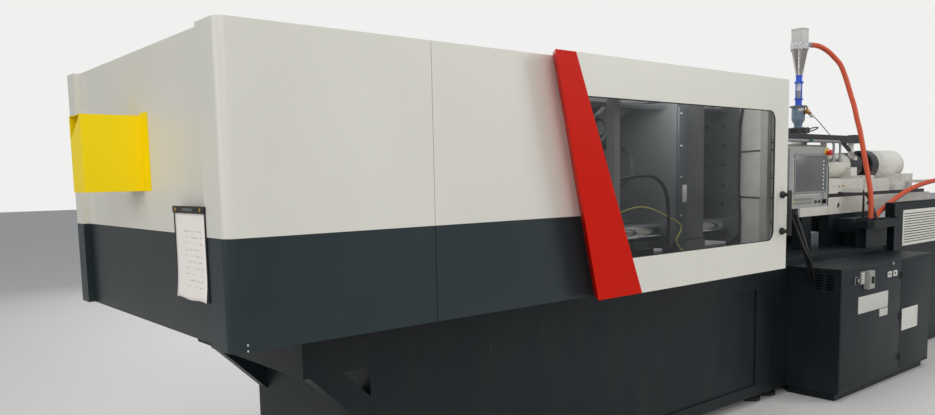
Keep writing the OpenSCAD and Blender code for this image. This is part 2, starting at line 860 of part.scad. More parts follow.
module front_lower_covers() {
    color([0.17, 0.22, 0.23]) side_covers(dark_low_z, dark_high_z, return_front);
}

module rear_upper_covers() {
    color([0.86, 0.86, 0.82]) mirror([0, 1, 0])
        side_covers(white_low_z, cover_top, return_rear);
}

module rear_lower_covers() {
    color([0.17, 0.22, 0.23]) mirror([0, 1, 0])
        side_covers(dark_low_z, dark_high_z, return_rear);
}

// Tray-shaped panel across the end, behind the covers' returns
module end_sheet(low, high) {
    behind = 28;
    w = guard_w - return_front - return_rear + 2 * behind;
    at(end_recess, return_front - behind - half_w, low) {
        cube([sheet, w, high - low]);
        for (z = [0, high - low - sheet])
            translate([0, behind, z]) cube([lip, w - 2 * behind, sheet]);
    }
}

module end_panels() {
    color([0.84, 0.84, 0.8]) end_sheet(white_low_z, cover_top);
    color([0.16, 0.2, 0.21]) end_sheet(dark_low_z, dark_high_z);
}

// Sheet metal hood on the end panel, open on its far side
module exhaust_hood() {
    near = 61;
    deep = 172;
    low = guard_z + 588;
    tall = 327;
    flange = 94;
    body_x = end_recess - touch;
    color([0.87, 0.75, 0.05]) {
        at(-hood_out, -near, low) {
            cube([hood_out + body_x, sheet, tall]);
            cube([sheet, deep, tall * 0.69]);
            translate([0, 0, tall - sheet]) cube([hood_out + body_x, deep, sheet]);
            translate([0, deep, 0]) rotate([90, 0, -90]) mirror([0, 0, 1])
                linear_extrude(sheet) polygon([
                    [0, tall * 0.68], [deep, tall * 0.68], [deep, tall], [deep - 8, tall]
                ]);
            translate([0, deep - sheet, 0]) cube([hood_out + body_x, sheet, tall]);
        }
        at(body_x - sheet, -near - flange, low) cube([sheet, flange + 1, tall + 10]);
    }
}

// Shop ticket holder hung on the end of the machine
module document_pouch() {
    wide = 310;
    tall = 360;
    low = guard_z + 172;
    thick = 4;
    color([0.9, 0.9, 0.88]) {
        at(-thick - touch, -half_w + 168, low) cube([thick, wide, tall]);
        at(-thick - touch - 2, -half_w + 168, low + tall - 26) cube([3, wide, 26]);
        for (y = [80, 250])
            at(-touch - 1, -half_w + 168 + y, low + tall - 13)
                bar_x(9, end_recess + 1);
    }
}

function band_left(z) = band_x_top + (band_x_low - band_x_top) * (1 - z / guard_h);
function band_right(z) = band_left(z) + band_w_low + (band_w_top - band_w_low) * z / guard_h;

// Outline of the window, slanted on the band's side and round at the other
module window_outline(grow) {
    low = win_low - grow;
    high = win_high + grow;
    far = win_end_x + grow;
    r = win_r + grow;
    hide = 15 + grow;
    union() {
        polygon([
            [band_right(high) - hide, high], [band_right(low) - hide, low],
            [far - r, low], [far - r, high]
        ]);
        translate([far - r - 1, low + r]) square([r + 1, high - low - 2 * r]);
        translate([far - r, low + r]) circle(r = r);
        translate([far - r, high - r]) circle(r = r);
    }
}

// Stands a side view of the gate up at a distance outside the cover plane
module gate_layer(out, t) {
    at(0, -half_w - out + t, guard_z) rotate([90, 0, 0]) linear_extrude(t) children();
}

module sliding_gate() {
    depth = gate_stand - gate_clear;
    under = 60;
    color([0.86, 0.86, 0.82]) {
        gate_layer(gate_stand, sheet) difference() {
            polygon([
                [band_left(guard_h) + under, guard_h], [band_left(0) + under, 0],
                [gate_end_x, 0], [gate_end_x, guard_h]
            ]);
            window_outline(0);
        }
        top_x = band_left(guard_h) + band_back + 8;
        low_x = band_left(0) + band_back + 8;
        at(top_x, -half_w - gate_stand, gate_top - sheet)
            cube([gate_end_x - top_x, depth, sheet]);
        at(low_x, -half_w - gate_stand, guard_z) cube([gate_end_x - low_x, depth, sheet]);
        at(gate_end_x - sheet, -half_w - gate_stand, guard_z) cube([sheet, depth, guard_h]);
        for (x = [top_x + 60, gate_end_x - 180])
            gate_hanger(x);
    }
}

// Hanger that reaches over the covers and rolls on the top rail
module gate_hanger(x) {
    reach = frame_in + 1;
    roll_r = 11;
    roll_z = rail_z + 9 + roll_r + touch;
    at(x, -half_w - gate_clear - 1, gate_top - sheet) cube([90, reach - 4, sheet]);
    at(x, -half_w + frame_in - 14, roll_z - 14) cube([90, sheet, gate_top - roll_z + 13]);
    at(x + 20, -half_w + frame_in - 7, roll_z) bar_y(roll_r, 12);
    at(x + 70, -half_w + frame_in - 7, roll_z) bar_y(roll_r, 12);
}

// Tubular pull handle on two standoffs
module gate_grip() {
    color([0.05, 0.05, 0.05]) {
        at(handle_x, -half_w - gate_stand - handle_out, guard_z + handle_up - handle_len / 2)
            cylinder(r = handle_r, h = handle_len);
        for (s = [-1, 1])
            at(handle_x, 0, guard_z + handle_up + s * (handle_len / 2 - 22)) {
                translate([0, -half_w - gate_stand - handle_out / 2, 0])
                    bar_y(handle_r * 0.8, handle_out);
                translate([0, -half_w - gate_stand - 5, 0]) bar_y(handle_foot_r, 10);
            }
    }
}

module window_pane() {
    color([0.3, 0.33, 0.34, 0.4]) gate_layer(gate_stand - sheet - touch, pane_t)
        window_outline(pane_lap);
}

module gate_panel() {
    sliding_gate();
    gate_grip();
}

module gate_window() {
    window_pane();
}

// Red folded strip along the gate's leading edge
module gate_band() {
    lean = atan2(band_x_low - band_x_top, guard_h);
    depth = gate_stand - gate_clear;
    over = 80;
    color([0.72, 0.1, 0.07]) {
        gate_layer(gate_stand + sheet, sheet) polygon([
            [band_left(guard_h), guard_h], [band_left(0), 0],
            [band_right(0), 0], [band_right(guard_h), guard_h]
        ]);
        intersection() {
            at(band_x_top, -half_w - gate_stand - sheet, guard_z + guard_h)
                rotate([0, 180 - lean, 0]) mirror([1, 0, 0]) translate([0, 0, -over])
                    linear_extrude(guard_h / cos(lean) + 2 * over) polygon([
                        [0, 0], [sheet * 1.3, 0], [band_back + sheet * 1.3, depth + sheet],
                        [band_back, depth + sheet]
                    ]);
            at(0, -half_w - gate_stand - 2 * sheet, guard_z)
                cube([gate_end_x, gate_stand, guard_h]);
        }
    }
}

module rear_gate_panel() {
    mirror([0, 1, 0]) {
        sliding_gate();
        gate_grip();
        rear_strip();
    }
}

// Plain white leading edge of the rear gate
module rear_strip() {
    color([0.86, 0.86, 0.82]) gate_layer(gate_stand + sheet, sheet) polygon([
        [band_left(guard_h), guard_h], [band_left(0), 0],
        [band_right(0), 0], [band_right(guard_h), guard_h]
    ]);
}

module rear_gate_window() {
    mirror([0, 1, 0]) window_pane();
}

// Folded guards between the gates' closing posts and the stationary platen
module fixed_guards() {
    x1 = gate_end_x + 46 + touch;
    y1 = half_w - frame_in - post + 2;
    x2 = fixed_face_x + 4;
    y2 = platen_half + touch;
    low = guard_z + 60;
    tall = guard_h - 120;
    color([0.6, 0.6, 0.57]) both_sides() at(0, 0, low) difference() {
        linear_extrude(tall) union() {
            translate([x1, y1]) square([2, 10]);
            polygon([[x1, y1 + 2], [x1, y1 - 1.2], [x2, y2], [x2 + 1, y2 + 2]]);
            translate([x2, y2]) square([30, 2]);
        }
        for (z = [tall * 0.3, tall * 0.65])
            translate([x1 - 1, y1 - 20, z]) rotate([0, 0, -45]) cube([30, 1.6, 4]);
    }
}

module injection_bed() {
    color([0.85, 0.84, 0.8]) {
        both_sides() {
            difference() {
                at(bed_x, bed_half - 110, bed_low_z) cube([bed_end_x - bed_x, 110, bed_high_z - bed_low_z]);
                at(bed_x + 10, bed_half - 100, bed_low_z + 10)
                    cube([bed_end_x - bed_x - 20, 90, bed_high_z - bed_low_z - 20]);
                for (x = [bed_x + 700 : 600 : bed_end_x - 500])
                    at(x, bed_half - 50, bed_low_z + (bed_high_z - bed_low_z) / 2) bar_y(24, 200);
            }
        }
        for (x = [bed_x + 10, bed_end_x - 90])
            at(x, 0, bed_low_z + 20) mid_box(80, 2 * (bed_half - 105), 90);
    }
}

module bed_rails() {
    color([0.35, 0.36, 0.37]) both_sides() difference() {
        at(bed_x + 60, bed_half - 78, bed_high_z)
            cube([bed_end_x - bed_x - 120, 46, rail_high_z - bed_high_z]);
        for (z = [12, 24])
            at(bed_x + 59, bed_half - 79, bed_high_z + z) {
                cube([bed_end_x - bed_x - 118, 6, 5]);
                translate([0, 42, 0]) cube([bed_end_x - bed_x - 118, 6, 5]);
            }
    }
}

module carriage() {
    foot_x = feed_x - 25;
    low = rail_high_z + touch;
    plate_z = axis_z - 120;
    color([0.87, 0.86, 0.83]) {
        difference() {
            union() {
                at(foot_x, 0, low) mid_box(170, 2 * bed_half - 30, plate_z - low);
                at(foot_x + 160, 0, low + 12) mid_box(590, 2 * bed_half - 70, plate_z - low - 20);
                at(foot_x + 740, 0, low) mid_box(170, 2 * bed_half - 30, plate_z - low + 20);
                at(foot_x + 900, 0, low) mid_box(400, 2 * bed_half - 60, plate_z - low - 12);
                at(feed_x - 130, 0, axis_z) bar_x(feed_r, feed_end_x - feed_x + 130);
                at(foot_x + 20, 0, plate_z - 60) mid_box(130, 300, 160);
                at(foot_x + 760, 0, plate_z - 40) mid_box(130, 320, 140);
                at(feed_x, 0, axis_z) cylinder(r = 80, h = hopper_z - axis_z);
                for (x = [feed_x + 265, beam_end_x - 90])
                    at(x, beam_y + 23, axis_z + 40)
                        cube([80, 22, beam_under_z - axis_z - 40]);
                for (x = tube_stations)
                    at(x, tube_in_y + 12 + touch, axis_z + 45) bar_y(17, 24);
                at(strut_x - 20, beam_y - 12, axis_z + 48) cube([44, 40, 34]);
            }
            at(feed_x - 131, 0, axis_z) bar_x(barrel_r + 0.3, 460);
            at(feed_x + 300, 0, axis_z) bar_x(75, feed_end_x - feed_x - 360);
            at(feed_end_x - 70, 0, axis_z) bar_x(screw_r + 2, 80);
            at(feed_x, 0, axis_z) cylinder(r = 40, h = 400);
            for (x = [foot_x + 230, foot_x + 330, foot_x + 430])
                both_sides() at(x, bed_half - 20, low + 40) bar_y(9, 60);
        }
    }
    color([0.35, 0.36, 0.37]) hose_fitting();
}

// Steel elbow low behind the tray that joins the two hoses, on a strap from the carriage
module hose_fitting() {
    pipe_r = 19;
    low = loader_route[len(loader_route) - 1];
    start = supply_route[0];
    turn = [low[0] + 12, low[1], low[2] - 22];
    bar_z = rail_high_z + 6;
    at(0, 0, 0) {
        rod(turn, low + [-3, 2, 22], pipe_r);
        rod(turn, start + [22, 0, 14], pipe_r);
        translate(turn) sphere(r = pipe_r + 5);
        translate([low[0] - 24, low[1] + 14, low[2] - 26]) cube([24, 52, 22]);
        translate([low[0] - 24, low[1] + 56, low[2] - 26]) cube([24, 10, bar_z + 36 - low[2] + 26]);
        translate([low[0] - 24, low[1] + 56, bar_z]) cube([60, -bed_half + 40 - low[1] - 56, 36]);
    }
}

module barrel() {
    tube_l = feed_x + 300 - barrel_tip_x - 180;
    color([0.5, 0.5, 0.5]) at(barrel_tip_x + 180, 0, axis_z) difference() {
        union() {
            bar_x(barrel_r, tube_l);
            translate([-60, 0, 0]) rotate([0, 90, 0]) cylinder(r1 = 34, r2 = 62, h = 61);
            translate([-170, 0, 0]) bar_x(26, 120);
            translate([-190, 0, 0]) rotate([0, 90, 0]) cylinder(r1 = 14, r2 = 24, h = 21);
        }
        translate([0, 0, 0]) bar_x(screw_r + screw_gap, tube_l + 1);
        translate([-200, 0, 0]) bar_x(5, 220);
        translate([feed_x - barrel_tip_x - 180, 0, 0]) cylinder(r = 38, h = 100);
    }
}

module heater_bands() {
    band_l = 130;
    band_r = barrel_r + 24;
    color([0.66, 0.66, 0.64])
        for (i = [0 : 6])
            at(barrel_tip_x + 210 + i * 165, 0, axis_z) difference() {
                union() {
                    bar_x(band_r, band_l);
                    translate([band_l / 2 - 18, -16, band_r - 6]) cube([36, 32, 34]);
                }
                translate([-1, 0, 0]) bar_x(barrel_r + touch, band_l + 2);
                translate([-1, -3, -band_r - 10]) cube([band_l + 2, 6, 40]);
            }
}

module screw() {
    pitch = 70;
    shaft_l = drive_x + 90 - barrel_tip_x - 440;
    flights = floor((feed_x - barrel_tip_x - 480) / pitch);
    color([0.7, 0.7, 0.7]) at(barrel_tip_x + 440, 0, axis_z) {
        bar_x(screw_r * 0.68, shaft_l);
        translate([-60, 0, 0]) rotate([0, 90, 0]) cylinder(r1 = 4, r2 = screw_r * 0.68, h = 60);
        for (i = [0 : flights])
            translate([i * pitch, 0, 0]) rotate([0, 12, 0]) bar_x(screw_r - 2, 11);
        translate([feed_x + 120 - barrel_tip_x - 440, 0, 0])
            bar_x(screw_r, drive_x + 30 - touch - feed_x - 120);
    }
}

// Piston in the drive that pushes the screw, which turns in its nose
module injection_piston() {
    l = 150;
    color([0.6, 0.6, 0.6]) at(drive_x + 30, 0, axis_z) difference() {
        bar_x(screw_r + 2 - pin_fit, l);
        translate([-1, 0, 0]) bar_x(screw_r * 0.68 + pin_fit, 66);
    }
}

// Outline of the barrel cover, seen along the machine
module cover_outline(w, up, down, fold) {
    polygon([
        [-w / 2, -down], [-w / 2, up - fold], [-w / 2 + fold, up],
        [w / 2 - fold, up], [w / 2, up - fold], [w / 2, -down]
    ]);
}

// Sheet metal guard round the barrel, open in front and below
module barrel_cover() {
    l = 1545;
    deep_l = 1180;
    w = 360;
    up = 185;
    down = 150;
    fold = 40;
    t = 2;
    x1 = feed_x - 130 - touch - deep_l;
    color([0.85, 0.85, 0.82]) at(x1, 0, axis_z) difference() {
        union() {
            rotate([90, 0, 90]) linear_extrude(l) difference() {
                cover_outline(w, up, down, fold);
                cover_outline(w - 2 * t, up - t, down + 1, fold - 1);
            }
            for (x = [deep_l + 30, l - 3])
                translate([x, 0, 0]) rotate([90, 0, 90]) linear_extrude(3) difference() {
                    cover_outline(w - 1, up - 0.5, 95, fold);
                    circle(r = feed_r + touch);
                    translate([-feed_r - touch, -200]) square([2 * feed_r + 2 * touch, 200]);
                }
        }
        translate([deep_l, -w, -down - 1]) cube([l, 2 * w, down - 94]);
        translate([feed_x - x1, 0, 0]) cylinder(r = 86, h = 300);
        for (i = [0 : 11])
            translate([120 + i * 80, 0, -80]) mid_box(44, w + 2, 10);
    }
}

module drive_flange() {
    bolts = 12;
    hub_l = drive_x - 50 - feed_end_x - touch;
    color([0.1, 0.1, 0.1]) at(drive_x - 50, 0, axis_z) difference() {
        union() {
            bar_x(drive_r - 4, 50 - touch);
            translate([-60, 0, 0]) bar_x(80, 61);
            translate([-hub_l, 0, 0]) bar_x(60, hub_l - 59);
            for (a = [0 : 360 / bolts : 359])
                rotate([a, 0, 0]) translate([-12, 0, drive_r - 32]) bar_x(11, 13);
        }
        translate([-hub_l - 1, 0, 0]) bar_x(screw_r + 2, hub_l + 60);
    }
}

// Bracket behind the drive that holds the end of the supply hose
module hose_bracket() {
    last = supply_route[len(supply_route) - 1];
    y = last[1] + 32;
    z = last[2] - 34;
    at(0, 0, 0) {
        rod(last - [30, 0, 1.2], last + [60, 0, 2.4], 19);
        translate([last[0] + 20, last[1] - 8, z]) cube([30, 60, 46]);
        translate([drive_x + 300, y, z]) cube([last[0] - drive_x - 250, 20, 30]);
        translate([drive_x + 300, y, z]) cube([60, -bed_half + 35 - y, 30]);
    }
}

module drive_housing() {
    seat_z = rail_high_z + touch - axis_z;
    color([0.88, 0.87, 0.84]) at(drive_x, 0, axis_z) difference() {
        union() {
            bar_x(drive_r + 4, 26);
            translate([20, 0, 0]) bar_x(drive_r, drive_len - 40);
            translate([drive_len - 30, 0, 0]) bar_x(drive_r + 4, 30);
            translate([drive_len - 1, 0, 0]) bar_x(drive_r - 40, 26);
            translate([40, 0, seat_z]) mid_box(420, 2 * bed_half - 60, 60);
            translate([190, 0, seat_z]) mid_box(270, 2 * bed_half - 60, -seat_z - drive_r + 60);
        }
        translate([-1, 0, 0]) bar_x(screw_r + 2, 30 + 150 + screw_stroke + 20);
    }
    color([0.35, 0.36, 0.37]) hose_bracket();
}

// Box beam beside the hopper, with the strut under its end
module support_beam() {
    start_x = 5000;
    h = 68;
    w = 90;
    top = [strut_x - 280, beam_y, beam_under_z + 14];
    low = [strut_x, beam_y, axis_z + 82 + touch];
    color([0.2, 0.21, 0.22]) difference() {
        union() {
            at(start_x, beam_y - w / 2, beam_under_z) cube([beam_end_x - 110 - start_x, w, h]);
            at(beam_end_x - 120, beam_y - w / 2 + 6, beam_under_z)
                cube([120, w - 12, h + 12]);
            at(0, 0, 0) rod(top, top + (low - top) * 0.55, 20);
            at(0, 0, 0) rod(top, low, 11);
        }
        at(start_x - 1, beam_y - w / 2 + 6, beam_under_z + 6) cube([240, w - 12, h - 12]);
        at(strut_x - 60, beam_y - 60, axis_z) cube([120, 120, 82 + touch]);
    }
}

// Steel tubes along the beam, clamped to it, with their fittings in the feed housing
module hydraulic_tubes() {
    r = 11;
    bend = 44;
    z = beam_under_z + 6;
    near_y = beam_y - 45 - 20;
    x1 = 4760;
    down_z = axis_z + 45;
    color([0.88, 0.88, 0.86])
        for (i = [0, 1]) {
            y = near_y - i * 34;
            x2 = tube_stations[i];
            at(x1 + bend, y, z) bar_x(r, x2 - x1 - 2 * bend);
            at(x2 - bend, y, z - bend) rotate([90, 0, 0]) rotate_extrude(angle = 90)
                translate([bend, 0]) circle(r = r);
            at(x1 + bend, y, z - bend) rotate([90, 0, 0]) rotate([0, 0, 90])
                rotate_extrude(angle = 90) translate([bend, 0]) circle(r = r);
            at(x2, y, down_z) cylinder(r = r, h = z - bend - down_z);
            at(x1, y, z - bend - 20) cylinder(r = r, h = 20);
            at(x2, y, down_z - 18) cylinder(r = r * 1.7, h = 40);
            at(x2, y + (tube_in_y - y) / 2, down_z) bar_y(r * 1.2, tube_in_y - y);
        }
    color([0.1, 0.25, 0.27]) {
        for (x = [5120, 5648])
            at(x, near_y - 34 - 16, z - 16) cube([46, 70, 34]);
        at(x1 - 26, near_y - 56, z - bend - 70) cube([52, near_y_in - near_y + 56, 56]);
    }
}

module panel_housing() {
    face_y = -half_w - 100;
    corner = 60;
    color([0.55, 0.55, 0.53]) {
        at(panel_x, face_y + 26, guard_z + panel_up) rotate([90, 0, 0]) linear_extrude(26)
            difference() {
                union() {
                    round_rect(panel_w - 70, panel_h, 10);
                    translate([panel_w - 80, panel_h - 115]) round_rect(80, 115, 10);
                    polygon([
                        [panel_w - 72, panel_h - 190], [panel_w - 3, panel_h - 108],
                        [panel_w - 3, panel_h - 90], [panel_w - 90, panel_h - 90]
                    ]);
                }
                for (x = [345, 394, 450])
                    translate([x, 37]) circle(r = 10.3);
                translate([panel_w - 36, panel_h - 34]) circle(r = 14.3);
            }
        at(panel_x + 20, face_y + 25, guard_z + panel_up + 12)
            cube([panel_w - 60, panel_d - 25, panel_h - 24]);
    }
    color([0.3, 0.3, 0.3]) {
        arm_x = gate_end_x + 46 + touch;
        arm_y = -half_w + frame_in + 2;
        at(arm_x, arm_y, guard_z + panel_up + 140) cube([14, 34, 110]);
        at(arm_x, arm_y, guard_z + panel_up + 160) cube([130, 30, 70]);
        at(arm_x + 80, face_y + panel_d - 1, guard_z + panel_up + 160)
            cube([50, arm_y - face_y - panel_d + 3, 70]);
        at(cable_route[0][0], cable_route[0][1], cable_route[0][2])
            cylinder(r = 26, h = guard_z + panel_up + 13 - cable_route[0][2]);
        at(panel_x + panel_w - 36, face_y - 2, guard_z + panel_up + panel_h - 34)
            difference() {
                bar_y(29, 4);
                bar_y(14.3, 6);
            }
    }
}

module panel_screen() {
    color([0.3, 0.3, 0.31]) at(panel_x + 74, -half_w - 100, guard_z + panel_up + 105)
        rotate([90, 0, 0]) linear_extrude(3) round_rect(345, 240, 6);
}

// Mushroom-head stop button with its yellow ring
module emergency_stop() {
    color([0.7, 0.08, 0.06])
        at(panel_x + panel_w - 36, -half_w - 100, guard_z + panel_up + panel_h - 34) {
            translate([0, -26, 0]) bar_y(20, 14);
            translate([0, -4, 0]) bar_y(14, 34);
        }
}

module push_button(x) {
    at(panel_x + x, -half_w - 100 - 1, guard_z + panel_up + 37) {
        translate([0, 2, 0]) bar_y(10, 22);
    }
}

module start_button() {
    color([0.1, 0.35, 0.15]) push_button(345);
}

module stop_button() {
    color([0.1, 0.15, 0.4]) push_button(394);
}

module mode_selector() {
    color([0.08, 0.08, 0.08]) at(panel_x + 450, -half_w - 101, guard_z + panel_up + 37) {
        translate([0, 2, 0]) bar_y(10, 22);
        translate([0, -10, 0]) bar_y(16, 6);
        translate([-4, -26, -15]) cube([8, 16, 30]);
    }
}

module panel_cables() {
    color([0.05, 0.05, 0.05]) at(0, 0, 0) swept(cable_route, 44, 10);
}

module low_cabinet() {
    low_z = foot_h;
    top_z = guard_z - low_drop;
    face = -half_w - low_out;
    depth = half_w + low_out - base_half - touch;
    wall = 6;
    color([0.14, 0.18, 0.19]) difference() {
        union() {
            at(low_x, face, low_z) cube([low_len, depth, top_z - low_z - 18]);
            at(low_x - 6, face - 6, top_z - 22) cube([low_len + 12, depth + 6, 22]);
            at(low_x + 30, face + 40, 0) cube([low_len - 60, depth - 40, low_z + 1]);
        }
        at(low_x + wall, face + wall, low_z + wall)
            cube([low_len - 2 * wall, depth - 2 * wall, top_z - low_z - 60]);
        for (y = [55, 139], i = [0 : 5])
            at(low_x - 1, face + y, top_z - 60 - i * 20) cube([wall + 2, 55, 9]);
    }
    color([0.14, 0.18, 0.19])
        at(low_x - 24, cable_route[13][1] + 4, cable_route[13][2] - 4) bar_x(27, 25);
    color([0.85, 0.85, 0.8]) {
        for (x = [795, 900])
            at(low_x + x, face - 8, top_z - 130) cube([62, 9, 42]);
        at(low_x + 1096, face - 5, top_z - 600) cube([310, 6, 172]);
    }
    color([0.55, 0.55, 0.55]) {
        at(low_x + 215, face - 12, top_z - 132) cube([40, 13, 56]);
        at(low_x + 300, face - 14, top_z - 140) cube([62, 15, 96]);
        at(low_x + 375, face - 40, top_z - 182) cube([100, 41, 138]);
        at(low_x + 870, face - 10, top_z - 36) cube([34, 11, 20]);
    }
}

tall_high_z = guard_z + tall_up;
tall_len = machine_len - tall_x;

module tall_cabinet() {
    face = -base_half - 30;
    wall = 5;
    low_z = 100;
    color([0.15, 0.19, 0.2]) {
        difference() {
            at(tall_x, face, low_z) cube([tall_len, tall_d, tall_high_z - low_z]);
            at(tall_x + wall, face - 1, low_z + wall + 40)
                cube([tall_len - 2 * wall, tall_d - wall, tall_high_z - low_z - 2 * wall - 40]);
        }
        for (z = hinge_heights)
            at(hinge_x, hinge_y, z) {
                cylinder(r = 8, h = 30);
                cylinder(r = 4, h = 62);
                translate([-3, 0, 0]) cube([tall_x - hinge_x + 4, face + 30 - hinge_y, 30]);
            }
        at(tall_x + 40, face + 25, 0) cube([tall_len - 80, tall_d - 30, low_z + 1]);
    }
    color([0.7, 0.7, 0.68]) {
        at(tall_x + 120, face + tall_d - wall - 3, low_z + 160)
            cube([tall_len - 240, 4, tall_high_z - low_z - 330]);
        for (z = [0 : 3])
            at(tall_x + 180, face + tall_d - wall - 36, low_z + 240 + z * 230)
                cube([tall_len - 700, 34, 120]);
    }
}

door_gap = 3;
door_x = tall_x + door_gap;
door_y = -base_half - 30;
hinge_x = tall_x - 5;
hinge_y = door_y - 28;
hinge_heights = [300, 760, 1240];

module cabinet_door() {
    w = tall_len - 2 * door_gap;
    low_z = 146;
    h = tall_high_z - low_z - 6;
    color([0.15, 0.19, 0.2]) difference() {
        union() {
            at(door_x, door_y - 24, low_z) cube([w, 3, h]);
            for (x = [0, w - 3])
                at(door_x + x, door_y - 22, low_z) cube([3, 20, h]);
            for (z = [0, h - 3])
                at(door_x, door_y - 22, low_z + z) cube([w, 20, 3]);
            for (z = hinge_heights)
                at(hinge_x, hinge_y, z + 30 + touch) {
                    cylinder(r = 8, h = 30);
                    translate([0, 2, 0]) cube([60, 5, 30]);
                }
        }
        for (z = hinge_heights)
            at(hinge_x, hinge_y, z + 29) cylinder(r = 4 + pin_fit, h = 40);
        at(tall_x + 196, door_y - 30, guard_z - 62) cube([780, 20, 296]);
    }
    color([0.1, 0.1, 0.1]) at(machine_len - 110, door_y - 40, 760) cube([24, 17, 130]);
}

module door_grille() {
    w = 810;
    h = 326;
    color([0.85, 0.84, 0.8]) at(tall_x + 181, door_y - 30, guard_z - 77) difference() {
        cube([w, 5.7, h]);
        for (i = [0 : 11])
            translate([22, 1.5, 22 + i * 24]) rotate([-35, 0, 0]) translate([0, -9, 0])
                cube([w - 44, 18, 7]);
    }
}

module hopper_funnel() {
    color([0.06, 0.06, 0.06]) at(feed_x, 0, hopper_z) {
        difference() {
            union() {
                cylinder(r = 158, h = 44);
                translate([0, 0, 44]) cylinder(r = 120, h = 22);
            }
            translate([0, 0, -1]) cylinder(r = 42, h = 96);
        }
    }
    color([0.3, 0.38, 0.47]) at(feed_x, 0, hopper_z + 66) difference() {
        union() {
            cylinder(r = 120, h = 10);
            cylinder(r = 52, h = 40);
            translate([0, 0, 39]) cylinder(r1 = 52, r2 = 118, h = 70);
            translate([0, 0, 109]) cylinder(r = 118, h = 62);
            translate([-122, -90, 171]) cube([244, 180, 14]);
        }
        translate([0, 0, -1]) cylinder(r = 42, h = 45);
        translate([0, 0, 43.9]) cylinder(r1 = 42, r2 = 108, h = 66);
        translate([0, 0, 109]) cylinder(r = 60, h = 80);
        translate([0, 0, 109]) cylinder(r = 108, h = 55);
    }
}

module sight_glass() {
    base_z = hopper_z + 66 + 185;
    h = 250;
    color([0.08, 0.22, 0.65]) at(feed_x, 0, base_z) difference() {
        union() {
            cylinder(r = 72, h = 44);
            translate([0, 0, h - 44]) cylinder(r = 72, h = 44);
            for (a = [45 : 90 : 315])
                rotate([0, 0, a]) translate([60, 0, 40]) cylinder(r = 7, h = h - 80);
            difference() {
                translate([0, 0, 40]) cylinder(r = 47, h = h - 80);
                translate([0, 0, 39]) cylinder(r = 43, h = h - 78);
            }
        }
        translate([0, 0, -1]) cylinder(r = 40, h = h + 2);
    }
}

module cone_hopper() {
    base_z = hopper_z + 66 + 185 + 250;
    cone_h = 225;
    band_h = 90;
    color([0.75, 0.74, 0.71]) at(feed_x, 0, base_z) difference() {
        union() {
            cylinder(r = 74, h = 8);
            cylinder(r = 52, h = 20);
            translate([0, 0, 20]) cylinder(r1 = 52, r2 = cone_r, h = cone_h);
            translate([0, 0, 20 + cone_h]) cylinder(r = cone_r, h = band_h);
            translate([0, 0, 20 + cone_h + 20]) cylinder(r = cone_r + 6, h = 24);
            translate([cone_r - 4, loader_route[0][1], loader_route[0][2] - base_z])
                bar_x(19, loader_route[0][0] - feed_x - cone_r + 34);
        }
        translate([0, 0, -1]) cylinder(r = 40, h = 30);
        translate([0, 0, 28.9]) cylinder(r1 = 40, r2 = cone_r - 3, h = cone_h - 8);
        translate([0, 0, 20 + cone_h - 1]) cylinder(r = cone_r - 3, h = band_h + 2);
    }
}

module loader_receiver() {
    base_z = hopper_z + 66 + 185 + 250 + 20 + 225 + 90;
    top = guard_z + loader_top - base_z;
    color([0.7, 0.71, 0.7]) at(feed_x, 0, base_z) {
        cylinder(r = cone_r + 4, h = 12);
        translate([-118, -118, 12]) cube([236, 236, top - 12]);
    }
}

module loader_hose() {
    color([0.8, 0.3, 0.18]) at(0, 0, 0) swept(loader_route, hose_d, 12);
}

module supply_hose() {
    color([0.8, 0.3, 0.18]) at(0, 0, 0) swept(supply_route, hose_d, 12);
}

clamp_base();
injection_base();
levelling_mounts();
stationary_platen();
tail_platen();
tie_bars();
tie_bar_nuts();
clamp_cylinder();
guard_frame();
front_upper_covers();
front_lower_covers();
rear_upper_covers();
rear_lower_covers();
end_panels();
exhaust_hood();
document_pouch();
fixed_guards();
injection_bed();
bed_rails();
support_beam();
hydraulic_tubes();
panel_housing();
panel_screen();
panel_cables();
low_cabinet();
tall_cabinet();
cabinet_door();
door_grille();
emergency_stop();
start_button();
stop_button();
mode_selector();
carriage();
barrel();
heater_bands();
barrel_cover();
screw();
injection_piston();
drive_housing();
drive_flange();
hopper_funnel();
sight_glass();
cone_hopper();
loader_receiver();
loader_hose();
supply_hose();
moving_platen();
crosshead();
rear_link_upper();
rear_link_lower();
front_link_upper();
front_link_lower();
crosshead_link_upper();
crosshead_link_lower();
ejector();
gate_panel();
gate_window();
gate_band();
rear_gate_panel();
rear_gate_window();
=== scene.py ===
import math
import random

import bmesh
import bpy
from mathutils import Matrix, Vector


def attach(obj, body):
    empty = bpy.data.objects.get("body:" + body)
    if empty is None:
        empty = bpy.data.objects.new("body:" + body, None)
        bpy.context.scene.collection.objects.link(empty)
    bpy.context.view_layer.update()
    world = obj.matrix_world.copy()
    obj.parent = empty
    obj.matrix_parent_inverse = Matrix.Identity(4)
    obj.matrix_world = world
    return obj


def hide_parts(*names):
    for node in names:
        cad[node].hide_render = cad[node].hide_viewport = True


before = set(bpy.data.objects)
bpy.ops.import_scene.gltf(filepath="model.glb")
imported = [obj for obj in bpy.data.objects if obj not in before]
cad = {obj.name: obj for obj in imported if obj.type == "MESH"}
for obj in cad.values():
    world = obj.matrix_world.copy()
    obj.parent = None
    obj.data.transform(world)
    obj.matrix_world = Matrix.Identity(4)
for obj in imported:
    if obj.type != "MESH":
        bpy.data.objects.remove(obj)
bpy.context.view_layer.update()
chance = random.Random(7)
print("frame loaded")

# Stations along the machine, offsets and heights are in mm, as in the part's source
endStation = -4095
guardLow = 1100
axisHigh = 1775


def at(x, y, z):
    return Vector(((x + endStation) / 1000, y / 1000, z / 1000))


def tone(red, green, blue):
    parts = [c / 255 for c in (red, green, blue)]
    return [c / 12.92 if c <= 0.04045 else ((c + 0.055) / 1.055) ** 2.4 for c in parts] + [1]


